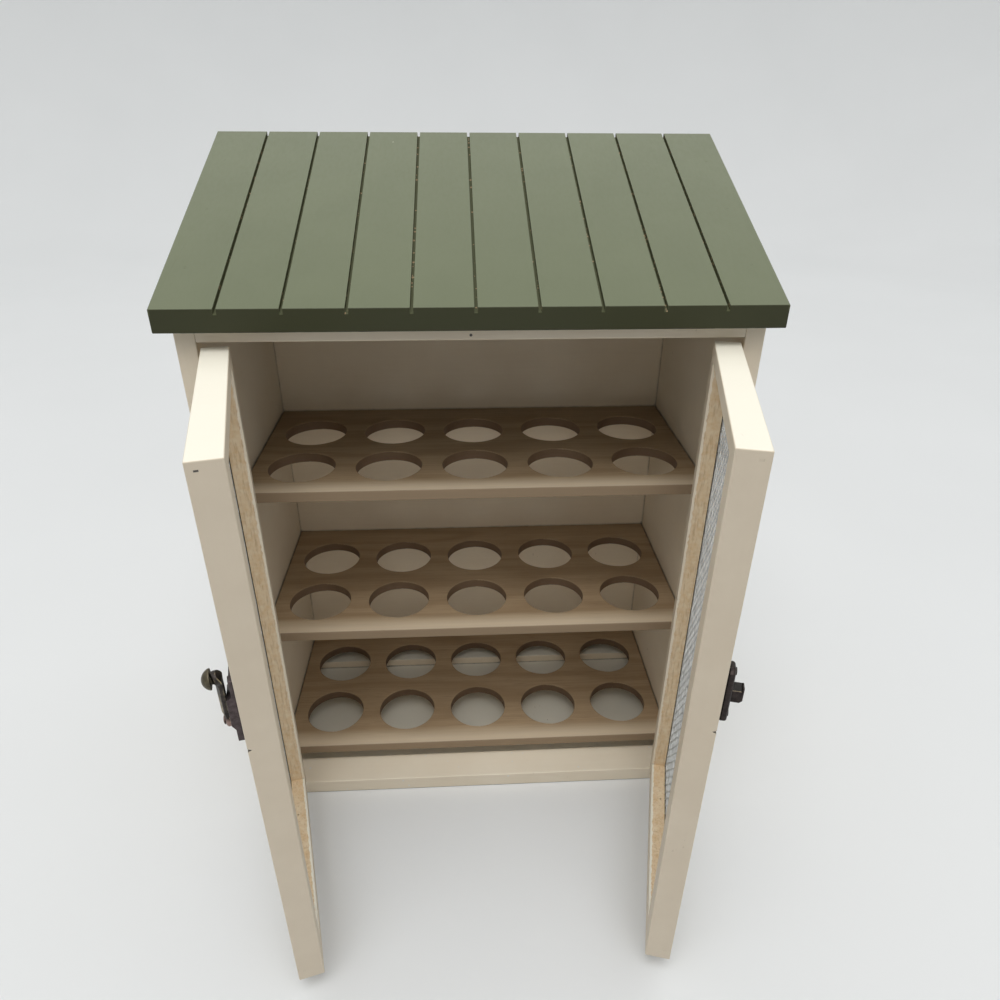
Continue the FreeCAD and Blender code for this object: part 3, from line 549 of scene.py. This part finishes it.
def sage_paint(name, planked=True):
    """Satin sage paint, painted lighter where it faces up as a painted sheen, rough and crumbly in the
    grooves between planks.
    """
    made, wiring, shader, place = finish_of(name)
    along = wiring.stretch(place, BRUSHED["y"])
    film = wiring.effect(PAINT_FILM, {"Place": place, "Brushed": along})
    edges = {"Place": place, "Reach": 1.2 * MM, "Amount": 0.22, "Patch Size": 55.0}
    worn = wiring.effect(EDGE_WEAR, edges)
    # Faces that point up take the lighter sage: a painted sheen.
    sheened = wiring.blend(film["Tone"], SAGE_PAINTED_SHEEN_SHADE, SAGE_PAINTED_SHEEN)
    lying = wiring.step(wiring.facing_up(), 0.5, 0.9)
    colour = wiring.blend(lying, SAGE, sheened)
    sown = {"Place": place, "Cells": 110.0, "Share": 0.05, "Dot": 0.04}
    sown = wiring.times(wiring.effect(SPECKS, sown)["Specks"], lying, ROOF_DUST_SHOWS)
    colour = wiring.blend(sown, colour, DUST)
    colour = wiring.blend(worn["Rubbed"], colour, SAGE_RUBBED)
    rough = wiring.span(film["Lines"], 0.0, 1.0, 0.36, 0.44)
    if planked:
        groove = in_groove(wiring, place)
        crumbs = {"Place": place, "Cells": 520.0, "Share": 0.34, "Dot": 0.34}
        crumbs = wiring.effect(SPECKS, crumbs)["Specks"]
        inside = wiring.blend(crumbs, SAGE_GROOVE, CRUMB_BROWN)
        colour = wiring.blend(groove, colour, inside)
        rough = wiring.times_plus(groove, 0.35, rough, clamp=True)
    wiring.feed(shader["Base Color"], colour)
    wiring.feed(shader["Roughness"], rough)
    wiring.feed(shader["Normal"], bump(wiring, film["Height"], strength=0.30, distance=0.08 * MM))
    shader["Specular IOR Level"].default_value = 0.3
    return made


def in_groove(wiring, place):
    """Where a place on the roof lies in a groove: near a plank joint and below the roof's top face."""
    apart = wiring.axes(place)
    from_joint = wiring.work_out("PINGPONG", apart["X"], PLANK_PITCH / 2)
    near = wiring.span(from_joint, GROOVE_HALF + 0.12 * MM, GROOVE_HALF + 0.02 * MM)
    top_at_wall = WALL_TOP + ROOF_THICK / math.cos(ROOF_SLOPE) - WALL_FRONT * math.tan(ROOF_SLOPE)
    top = wiring.times_plus(apart["Y"], math.tan(ROOF_SLOPE), top_at_wall)
    deep = wiring.times(wiring.minus(top, apart["Z"]), math.cos(ROOF_SLOPE))
    below_top = wiring.span(deep, 0.10 * MM, 0.30 * MM)
    above_floor = wiring.span(deep, GROOVE_DEEP + 0.30 * MM, GROOVE_DEEP + 0.15 * MM)
    return wiring.times(near, below_top, above_floor)


def shelf_wood(name, shift):
    """Bare brown hardwood with its grain along the shelf, painted lighter at the front where light falls
    and painted dark on its hole walls as shade.
    """
    made, wiring, shader, place = finish_of(name)
    cut_from = wiring.stretch(place, (1, 1, 1), shift)
    grain = wiring.effect(BOARD_GRAIN, {"Place": cut_from, "Band Pitch": 13 * MM})
    edges = {"Place": place, "Reach": 0.9 * MM, "Amount": 0.55, "Patch Size": 80.0}
    worn = wiring.effect(EDGE_WEAR, edges)
    grime_and_shade = wiring.effect(CORNER_GRIME_AND_SHADE, {"Place": place, "Reach": 2.5 * MM})["Dirt"]
    colour = wiring.blend(grain["Bands"], SHELF_PALE, SHELF_BROWN)
    colour = wiring.blend(wiring.times(grain["Fibres"], FIBRES_SHOW), colour, SHELF_DARK)
    colour = wiring.blend(wiring.times(grain["Pores"], PORES_SHOW), colour, SHELF_DARK)
    outward = wiring.axes(place)["Y"]
    # The front strip of each shelf is painted lighter, fading toward the back: painted light.
    lit_front = wiring.span(outward, SHELF_FRONT + 15 * MM, SHELF_FRONT + 4 * MM, 0.0, 0.70)
    colour = wiring.blend(lit_front, colour, SHELF_FRONT_PAINTED_LIGHT)
    # Standing faces behind the front lip, the walls of the holes, are darkened: painted shade.
    standing = wiring.span(wiring.work_out("ABSOLUTE", wiring.facing_up()), 0.6, 0.3)
    behind_lip = wiring.span(outward, SHELF_FRONT + 0.6 * MM, SHELF_FRONT + 1.0 * MM)
    hole_shade = wiring.times(standing, behind_lip, HOLE_SHADE_SHOWS)
    # The shelf's front face is darkened: partly its browner edge grain, partly painted shade.
    lip = wiring.span(outward, SHELF_FRONT + 0.5 * MM, SHELF_FRONT + 0.2 * MM, 0.0, 0.80)
    colour = wiring.blend(lip, colour, SHELF_DARK)
    colour = wiring.blend(wiring.times(worn["Rubbed"], SHELF_RUB_SHOWS), colour, SHELF_PALE)
    colour = wiring.blend(hole_shade, colour, SHELF_HOLE_SHADE)
    # Inside corners are darkened: painted shade.
    colour = wiring.blend(wiring.times(grime_and_shade, CORNER_SHADE_SHOWS), colour, PAINTED_SHADE_DARK)
    deep = wiring.times(grain["Pores"], -0.7)
    height = wiring.times_plus(grain["Fibres"], 0.5, deep)
    wiring.feed(shader["Base Color"], colour)
    wiring.feed(shader["Roughness"], wiring.span(grain["Fibres"], 0.0, 1.0, 0.62, 0.74))
    wiring.feed(shader["Normal"], bump(wiring, height, strength=0.40, distance=0.10 * MM))
    shader["Specular IOR Level"].default_value = 0.2
    return made


def old_bronze(name, worn_colour, wear, reach=0.7 * MM, tones=(BRONZE_DARK, BRONZE), marks=None):
    """Dark antiqued bronze, bright where hands and hooks have rubbed it and black in its hollows; on the
    lever and keeper, painted highlights and painted shade join these marks.
    """
    made, wiring, shader, place = finish_of(name)
    edges = {"Place": place, "Reach": reach, "Amount": wear, "Patch Size": 160.0}
    rubbed = wiring.effect(EDGE_WEAR, edges)["Rubbed"]
    clouds = wiring.noise(place, 420.0, detail=4.0, rough=0.65)
    pits = wiring.noise(place, 2400.0, detail=3.0, rough=0.6)
    colour = wiring.blend(wiring.span(clouds, 0.35, 0.65), *tones)
    if marks == "lever":
        thumbed_and_highlit, turned = lever_rubs_and_highlight(wiring, place)
        colour = wiring.blend(turned, colour, COPPER_WORN)
        # The flank stripe is made bright: thumb wear and a painted highlight.
        rubbed = wiring.most(rubbed, wiring.times(thumbed_and_highlit, clouds))
    if marks == "keeper":
        shaded_hollow, rim = keeper_marks(wiring, place)
        # The keeper's hollow is painted black: painted shade.
        colour = wiring.blend(shaded_hollow, colour, HOLLOW_BLACK)
        # The rim is made bright: partly rubbed by the lever, partly a painted highlight.
        rubbed = wiring.most(rubbed, wiring.times(rim, RIM_RUB_AND_HIGHLIGHT_SHOWS))
        rubbed = wiring.times(rubbed, wiring.minus(1.0, shaded_hollow))
    colour = wiring.blend(rubbed, colour, worn_colour)
    grime_and_shade = wiring.effect(CORNER_GRIME_AND_SHADE, {"Place": place, "Reach": 5 * MM})["Dirt"]
    colour = wiring.blend(grime_and_shade, colour, HOLLOW_BLACK)
    wiring.feed(shader["Base Color"], colour)
    wiring.feed(shader["Metallic"], wiring.span(rubbed, 0.0, 1.0, 0.75, 1.0))
    wiring.feed(shader["Roughness"], wiring.span(clouds, 0.3, 0.7, 0.50, 0.34))
    wiring.feed(shader["Normal"], bump(wiring, pits, strength=0.30, distance=0.06 * MM))
    return made


def keeper_marks(wiring, place):
    """The keeper's hollow, painted black as shade, and its rim, rubbed bright by the lever and painted as
    a highlight.
    """
    apart = wiring.axes(in_door_frame(wiring, place, "right"))
    over_floor = wiring.span(apart["Z"], HOOK_FLOOR - 0.02 * MM, HOOK_FLOOR + 0.12 * MM)
    under_lip = wiring.span(apart["Y"], proud(LEVER_HIGH + 0.3 * MM), proud(LEVER_HIGH + 0.1 * MM))
    off_plate = wiring.span(apart["Y"], proud(KEEPER_THICK - 0.1 * MM), proud(KEEPER_THICK + 0.1 * MM))
    behind_rim = wiring.span(apart["X"], HOOK_NEAR - 0.35 * MM, HOOK_NEAR - 0.6 * MM)
    shaded_hollow = wiring.times(over_floor, under_lip, off_plate)
    rim = wiring.times(shaded_hollow, wiring.minus(1.0, behind_rim))
    return wiring.times(shaded_hollow, behind_rim), rim


def lever_rubs_and_highlight(wiring, place):
    """Where the latch lever is rubbed: a bright stripe along one flank, partly thumb wear and partly a
    painted highlight, and its foot on the rivet.
    """
    apart = wiring.axes(in_door_frame(wiring, place, "left"))
    across = wiring.minus(apart["X"], RIVET_ACROSS)
    up = wiring.minus(apart["Z"], RIVET_UP)
    begun = wiring.step(up, 2 * MM, 5 * MM)
    ended = wiring.step(up, 17 * MM, 11 * MM)
    on_flank = wiring.step(wiring.apart_from(across, 1.1 * MM), 1.0 * MM, 0.3 * MM)
    foot = wiring.step(up, 2.6 * MM, 0.8 * MM)
    return wiring.times(begun, ended, on_flank), foot


def zinc_wire(name):
    """Dull zinced wire with greyer patches."""
    made, wiring, shader, place = finish_of(name)
    bloom = wiring.noise(place, 160.0, detail=3.0, rough=0.6)
    fine = wiring.noise(place, 1900.0, rough=0.6)
    colour = wiring.blend(wiring.span(bloom, 0.35, 0.65), WIRE_GREY, WIRE_DULL)
    wiring.feed(shader["Base Color"], colour)
    wiring.feed(shader["Metallic"], wiring.span(bloom, 0.3, 0.7, 0.75, 0.45))
    wiring.feed(shader["Roughness"], wiring.span(fine, 0.3, 0.7, 0.34, 0.52))
    return made


def nail_steel(name, bright, dark, painted_below=None):
    """The sunk heads of small nails, rusty or painted over; those below a height are all painted."""
    made, wiring, shader, place = finish_of(name)
    blotches = wiring.noise(place, 1300.0, detail=4.0, rough=0.65)
    colour = wiring.blend(wiring.span(blotches, 0.35, 0.65), dark, bright)
    if painted_below:
        painted = wiring.under(wiring.axes(place)["Z"], painted_below)
        paint = wiring.blend(blotches, NAIL_PAINTED_SHADE, NAIL_PAINTED)
        colour = wiring.blend(painted, colour, paint)
    wiring.feed(shader["Base Color"], colour)
    wiring.feed(shader["Roughness"], wiring.span(blotches, 0.3, 0.7, 0.45, 0.70))
    wiring.feed(shader["Normal"], bump(wiring, blotches, strength=0.4, distance=0.08 * MM))
    return made


def dress(finish, *nodes):
    """Gives carried-over solids their finish."""
    for node in nodes:
        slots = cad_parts[node].data.materials
        slots.clear()
        slots.append(finish)


def dress_cabinet():
    # The back panel and back rail take the lighter, warmer cream: painted light.
    back = (BACK_SHADE_PAINTED_LIGHT, BACK_CREAM_PAINTED_LIGHT)
    panel = (PANEL_SHADE, PANEL_GREY)
    dress(cream_paint("left_side_paint", "z", wear=0.30), "side_panel_left")
    dress(cream_paint("right_side_paint", "z", wear=0.30), "side_panel_right")
    dress(cream_paint("back_paint", "x", wear=0.20, tones=back), "back_panel")
    dress(cream_paint("front_rail_paint", "x", wear=0.42, specks=0.12, top_highlight=0.2), "base_front_rail")
    dress(cream_paint("back_rail_paint", "x", wear=0.30, tones=back), "base_back_rail")
    dress(cream_paint("bottom_panel_paint", "x", wear=0.20, tones=panel), "bottom_panel")
    dress(cream_paint("rail_paint", "x", wear=0.30), "top_rail")
    dress(sage_paint("roof_paint"), "roof_board")
    dress(shelf_wood("top_shelf_wood", shift=(0.11, 0.31, 0.0)), "egg_shelf_top")
    dress(shelf_wood("middle_shelf_wood", shift=(0.47, 0.12, 0.0)), "egg_shelf_middle")
    dress(shelf_wood("bottom_shelf_wood", shift=(0.83, 0.57, 0.0)), "egg_shelf_bottom")
    dress(nail_steel("painted_nail", CREAM_SHADE, CREAM_THIN), "side_brads", "back_brads")
    dress(sage_paint("roof_nail_paint", planked=False), "roof_brads")
    dress(nail_steel("rail_nail", NAIL_GREY, NAIL_DARK), "rail_brad")


def dress_doors():
    left_nails = nail_steel("left_door_nails", NAIL_GREY, NAIL_DARK, painted_below=DOOR_MIDDLE)
    dress(left_nails, "left_door_brads")
    dress(nail_steel("right_door_nails", NAIL_PAINTED, NAIL_PAINTED_SHADE), "right_door_brads")
    for side in ("left", "right"):
        upright = cream_paint(side + "_stile_paint", "z", wear=0.45, door=side)
        level = cream_paint(side + "_door_rail_paint", "x", wear=0.45, door=side)
        dress(upright, side + "_hinge_stile", side + "_free_stile")
        dress(level, side + "_door_top_rail", side + "_door_bottom_rail")


def dress_fittings():
    hinges = ["upper_side_leaf", "lower_side_leaf", "upper_door_leaf", "lower_door_leaf"]
    hinges += ["hinge_pins", "side_hinge_screws", "door_hinge_screws"]
    bronze = old_bronze("hinge_bronze", BRASS_WORN, wear=0.35)
    for side in ("left", "right"):
        dress(bronze, *(side + "_" + piece for piece in hinges))
    purple = (BRONZE_PURPLE_DARK, BRONZE_PURPLE)
    brown = (BRONZE_BROWN_DARK, BRONZE_BROWN)
    olive = (BRONZE_OLIVE_DARK, BRONZE_OLIVE)
    dress(old_bronze("latch_plate_bronze", COPPER_WORN, wear=0.35, tones=purple), "latch_plate")
    keeper = old_bronze("keeper_bronze", BRASS_WORN, wear=0.45, tones=brown, marks="keeper")
    dress(keeper, "keeper_plate")
    dress(old_bronze("knob_bronze", BRASS_WORN, wear=0.30, tones=olive), "latch_knob")
    screws = old_bronze("fitting_screw_bronze", BRASS_WORN, wear=0.55)
    dress(screws, "latch_screws", "keeper_screws")


def door_place(side):
    """From a door's own frame (across from its pins, deep toward the back, up) to the row frame."""
    if side == "left":
        return Matrix.Translation((-PIN_X, PIN_Y, 0)) @ Matrix.Rotation(-LEFT_OPEN, 4, "Z")
    swung = Matrix.Translation((PIN_X, PIN_Y, 0)) @ Matrix.Rotation(RIGHT_OPEN, 4, "Z")
    return swung @ Matrix.Diagonal((-1, 1, 1, 1))


def add_piece(name, points, faces, place, finish):
    """A mesh piece from its points and faces, moved to its place, with outward faces."""
    mesh = bpy.data.meshes.new(name)
    mesh.from_pydata(points, [], faces)
    mesh.transform(place)
    if place.determinant() < 0:
        mesh.flip_normals()
    for face in mesh.polygons:
        face.use_smooth = True
    mesh.materials.append(finish)
    piece = bpy.data.objects.new(name, mesh)
    bpy.context.scene.collection.objects.link(piece)
    return piece


def skin(rings, sides):
    """Faces that join closed rings of points, each ring to the next."""
    faces = []
    for ring in range(rings - 1):
        for side in range(sides):
            here = ring * sides + side
            beside = ring * sides + (side + 1) % sides
            faces.append((here, beside, beside + sides, here + sides))
    return faces


def capped_skin(rings, sides):
    """Faces of a closed piece: its rings joined, and a cap over the first and last."""
    last = (rings - 1) * sides
    caps = [tuple(range(sides))[::-1], tuple(range(last, last + sides))]
    return skin(rings, sides) + caps


def tube(path, radius, sides):
    """Points and faces of a round wire along a path that never runs along the depth axis."""
    along = np.gradient(path, axis=0)
    along /= np.linalg.norm(along, axis=1)[:, None]
    beside = np.cross((0.0, 1.0, 0.0), along)
    beside /= np.linalg.norm(beside, axis=1)[:, None]
    over = np.cross(along, beside)
    angles = np.linspace(0, 2 * math.pi, sides, endpoint=False)
    rings = [path + radius * (math.cos(turn) * beside + math.sin(turn) * over) for turn in angles]
    points = np.stack(rings, axis=1).reshape(-1, 3)
    return points, capped_skin(len(path), sides)


def net_wire(number, rows, column_at, row_tall, low_up, wander):
    """Path of one netting wire: it twists with its left neighbour in one row, its right in the next."""
    path = []
    for row in range(rows):
        leans_left = row % 2 == number % 2
        twist = number if leans_left else number + 1
        column = column_at(twist) + wander[row, twist]
        for step in range(NET_TURN_STEPS + 1):
            share = step / NET_TURN_STEPS
            turn = 2 * math.pi * share + (0 if leans_left else math.pi)
            across = column + NET_WIRE * math.cos(turn)
            deep = MESH_DEEP + NET_WIRE * math.sin(turn)
            path.append((across, deep, low_up + row * row_tall + share * NET_TWIST))
    return np.array(path)


def netting(side, finish):
    """The door's screen: hexagonal wire netting, its edges held in the frame's kerf."""
    held = MESH_REACH - 2 * NET_WIRE
    low_across = OPENING_ACROSS[0] - held
    wide = OPENING_ACROSS[1] + held - low_across
    low_up = OPENING_UP[0] - held
    tall = OPENING_UP[1] + held - low_up
    columns = 2 * round(wide / NET_CELL)
    rows = round(tall / (NET_TWIST + NET_CELL / 2 * math.tan(math.pi / 6)))
    row_tall = (tall - NET_TWIST) / (rows - 1)

    def column_at(column):
        return low_across + wide * column / columns

    seed = len(side)
    wander = np.random.default_rng(seed).normal(0.0, NET_WANDER, (rows, columns + 1))
    wander[:, [0, columns]] = 0.0
    wander = np.clip(wander, -2 * NET_WANDER, 2 * NET_WANDER)
    paths = [net_wire(number, rows, column_at, row_tall, low_up, wander) for number in range(columns)]
    for column in (0, columns):
        selvedge = [(column_at(column), MESH_DEEP, low_up + share * tall) for share in (0, 0.5, 1)]
        paths.append(np.array(selvedge))
    points, faces = [], []
    for path in paths:
        shift = len(points)
        more, more_faces = tube(path, NET_WIRE, NET_SIDES)
        points.extend(more.tolist())
        faces.extend(tuple(corner + shift for corner in face) for face in more_faces)
    piece = add_piece(side + "_netting", points, faces, door_place(side), finish)
    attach(piece, side + "_door")
    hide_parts(side + "_door_mesh")


def eased(value, start, end):
    """From 0 at the start to 1 at the end, level at both."""
    share = min(max((value - start) / (end - start), 0.0), 1.0)
    return share * share * (3 - 2 * share)


def lever_section(along):
    """Half width, back and crown of the latch lever at a place along it from the rivet."""
    ends = [LEVER_END ** 2 - (along - middle) ** 2 for middle in (0.0, LEVER_LONG)]
    half = max(math.sqrt(max(end, 0.0)) for end in ends)
    if 0 < along < LEVER_LONG:
        half = max(half, LEVER_HALF)
    crown = LEVER_HIGH - FOOT_THINNER * (1 - eased(along, 1.8 * MM, 5.0 * MM))
    crown -= TOE_DROP * eased(-along, 1.0 * MM, LEVER_END)
    crown += BOSS_RISE * eased(along, LEVER_LONG - 2.0 * MM, LEVER_LONG - 1.0 * MM)
    back = LEVER_LOW + TIP_LIFT * eased(along, LEVER_LONG - 0.6 * MM, LEVER_LONG + LEVER_END)
    return half, back, crown


def round_stack(outline):
    """Points and faces of a turned piece about the rivet, from its (radius, proud) outline."""
    points = []
    for radius, height in outline:
        for side in range(ROUND_SIDES):
            angle = side / ROUND_SIDES * 2 * math.pi
            across = RIVET_ACROSS + radius * math.cos(angle)
            points.append((across, proud(height), RIVET_UP + radius * math.sin(angle)))
    return points, capped_skin(len(outline), ROUND_SIDES)


def tidy_shell(piece):
    """Turns a closed piece's faces outward and keeps its corners crisp."""
    shell = bmesh.new()
    shell.from_mesh(piece.data)
    bmesh.ops.recalc_face_normals(shell, faces=shell.faces)
    shell.to_mesh(piece.data)
    shell.free()
    piece.data.set_sharp_from_angle(angle=CRISP_ANGLE)


def drill_for_rivet(lever, finish):
    """Bores the lever for the rivet's stem and keeps the bored mesh."""
    bore = RIVET_STEM + RIVET_FIT
    outline = [(bore, height) for height in RIVET_DRILL]
    drill = add_piece("rivet_drill", *round_stack(outline), door_place("left"), finish)
    tidy_shell(drill)
    cut = lever.modifiers.new("rivet_bore", "BOOLEAN")
    cut.object = drill
    cut.operation = "DIFFERENCE"
    seen = lever.evaluated_get(bpy.context.evaluated_depsgraph_get())
    bored = bpy.data.meshes.new_from_object(seen)
    lever.modifiers.clear()
    lever.data = bored
    bpy.data.objects.remove(drill)


def latch_lever(finish):
    """The swinging lever: a ridged bar, thin and round at the rivet, with a boss under the knob."""
    turns = [math.radians(turn) for turn in range(12, 90, 13)]
    stations = [-LEVER_END * math.cos(turn) for turn in turns]
    stations += [LEVER_LONG * step / LEVER_STEPS for step in range(LEVER_STEPS + 1)]
    stations += [LEVER_LONG + LEVER_END * math.cos(turn) for turn in reversed(turns)]
    flank = [side / FLANK_STEPS for side in range(-FLANK_STEPS, FLANK_STEPS + 1)]
    points = []
    for along in stations:
        half, back, crown = lever_section(along)
        ridged = RIDGE_FROM < along < LEVER_LONG - RIDGE_FROM
        ridge = RIDGE_SHARP if ridged else RIDGE_BLUNT
        ring = [(-half, back)]
        for side in flank:
            share = FLANK_SHOULDER + (1 - FLANK_SHOULDER) * (1 - abs(side) ** ridge)
            ring.append((side * half, back + share * (crown - back)))
        ring.append((half, back))
        points += [(RIVET_ACROSS + across, proud(height), RIVET_UP + along) for across, height in ring]
    faces = capped_skin(len(stations), len(flank) + 2)
    lever = add_piece("ridged_lever", points, faces, door_place("left"), finish)
    tidy_shell(lever)
    drill_for_rivet(lever, finish)
    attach(lever, "latch")
    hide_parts("latch_lever")


def latch_rivet(finish):
    """The rivet that the lever turns on: a washer, a stem and a low domed head."""
    washer_top = LEVER_LOW - WASHER_GAP
    outline = [(RIVET_STEM, RIVET_SEAT), (RIVET_WASHER, RIVET_SEAT), (RIVET_WASHER, washer_top)]
    outline += [(RIVET_STEM, washer_top), (RIVET_STEM, RIVET_UNDER_HEAD), (RIVET_HEAD, RIVET_UNDER_HEAD)]
    for turn in (0, 20, 40, 60, 78):
        angle = math.radians(turn)
        outline.append((RIVET_HEAD * math.cos(angle), RIVET_RIM + RIVET_DOME * math.sin(angle)))
    rivet = add_piece("low_rivet", *round_stack(outline), door_place("left"), finish)
    tidy_shell(rivet)
    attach(rivet, "left_door")
    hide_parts("latch_rivet")


def seen_directly(wiring):
    """One for what the camera, gloss and glass show, and none for light on its way to the object."""
    ray = wiring.node("ShaderNodeLightPath").outputs
    seen = wiring.work_out("ADD", ray["Is Camera Ray"], ray["Is Glossy Ray"])
    return wiring.work_out("ADD", seen, ray["Is Transmission Ray"], clamp=True)


def studio_paper():
    """Pale matt paper, seen a little lighter far off, that throws less light back from far off."""
    made, wiring, shader, place = finish_of("studio_floor")
    soft = wiring.noise(place, 3.0)
    paper = wiring.blend(wiring.span(soft, 0.3, 0.7), PAPER_SHADE, PAPER)
    seen = seen_directly(wiring)
    away = wiring.node("ShaderNodeVectorMath", {0: place}, operation="LENGTH").outputs["Value"]
    lit_paper = wiring.blend(wiring.step(away, 0.4, 1.8), PAPER_LIT_NEAR, PAPER_LIT_FAR)
    glow = wiring.times(wiring.step(away, 0.35, 2.2), seen)
    wiring.feed(shader["Base Color"], wiring.blend(seen, lit_paper, paper))
    wiring.feed(shader["Emission Color"], wiring.blend(glow, NO_GLOW, PAPER_GLOW))
    shader["Emission Strength"].default_value = 1.0
    shader["Roughness"].default_value = 0.75
    return made


def studio_floor():
    """A round floor that curves up into a backdrop on all sides."""
    profile = [(FLOOR_FLAT * step / FLOOR_STEPS, 0.0) for step in range(FLOOR_STEPS + 1)]
    for step in range(1, COVE_STEPS + 1):
        angle = step / COVE_STEPS * math.pi / 2
        out = FLOOR_FLAT + COVE_RADIUS * math.sin(angle)
        profile.append((out, COVE_RADIUS - COVE_RADIUS * math.cos(angle)))
    profile.append((FLOOR_FLAT + COVE_RADIUS, BACKDROP_TOP))
    points = []
    for out, up in profile:
        for side in range(FLOOR_SIDES):
            angle = side / FLOOR_SIDES * 2 * math.pi
            points.append((out * math.cos(angle), out * math.sin(angle), up))
    faces = [face[::-1] for face in skin(len(profile), FLOOR_SIDES)]
    floor = add_piece("studio_floor", points, faces, Matrix.Identity(4), studio_paper())
    floor.location.z = -FLOOR_DROP


def studio_light():
    """Soft lamps above and in front, and a sky that lights dimly and looks as pale as the backdrop."""
    for name, size, power, spot, target in LAMPS:
        lamp = bpy.data.lights.new(name, "AREA")
        lamp.shape = "DISK"
        lamp.size = size
        lamp.energy = power
        softbox = bpy.data.objects.new(name, lamp)
        softbox.location = spot
        softbox.visible_camera = False
        softbox.rotation_euler = (Vector(target) - Vector(spot)).to_track_quat("-Z", "Y").to_euler()
        bpy.context.scene.collection.objects.link(softbox)
    world = bpy.data.worlds.new("studio_air")
    world.use_nodes = True
    air = world.node_tree.nodes["Background"].inputs
    air["Color"].default_value = WHITE
    sky = Wiring(world.node_tree)
    sky.feed(air["Strength"], sky.span(seen_directly(sky), 0.0, 1.0, SKY_LIGHT, SKY_SEEN))
    bpy.context.scene.world = world


def camera():
    """The photograph's camera: in front and above, a wide lens, tipped down at the doors."""
    yaw, pitch, roll = CAMERA_YAW, CAMERA_PITCH, CAMERA_ROLL
    right = Vector((math.cos(yaw), math.sin(yaw), 0))
    ahead = Vector((-math.sin(yaw) * math.cos(pitch), math.cos(yaw) * math.cos(pitch), -math.sin(pitch)))
    over = right.cross(ahead)
    side = right * math.cos(roll) + over * math.sin(roll)
    top = over * math.cos(roll) - right * math.sin(roll)
    turned = Matrix((side, top, -ahead)).transposed().to_4x4()
    lens = bpy.data.cameras.new("photo_camera")
    lens.sensor_fit = "HORIZONTAL"
    lens.sensor_width = CAMERA_SENSOR
    lens.lens = CAMERA_LENS
    lens.clip_start = CAMERA_NEAR
    lens.clip_end = CAMERA_FAR
    made = bpy.data.objects.new("photo_camera", lens)
    made.matrix_world = Matrix.Translation(CAMERA_SPOT) @ turned
    bpy.context.scene.collection.objects.link(made)
    bpy.context.scene.camera = made


dress_cabinet()
dress_doors()
dress_fittings()
ZINC = zinc_wire("zinc_wire")
netting("left", ZINC)
netting("right", ZINC)
latch_lever(old_bronze("lever_bronze", BRASS_WORN, wear=0.70, reach=1.0 * MM, marks="lever"))
latch_rivet(old_bronze("rivet_copper", COPPER_WORN, wear=0.85, reach=1.5 * MM))
studio_floor()
studio_light()
camera()
bpy.context.scene.view_settings.view_transform = "Standard"
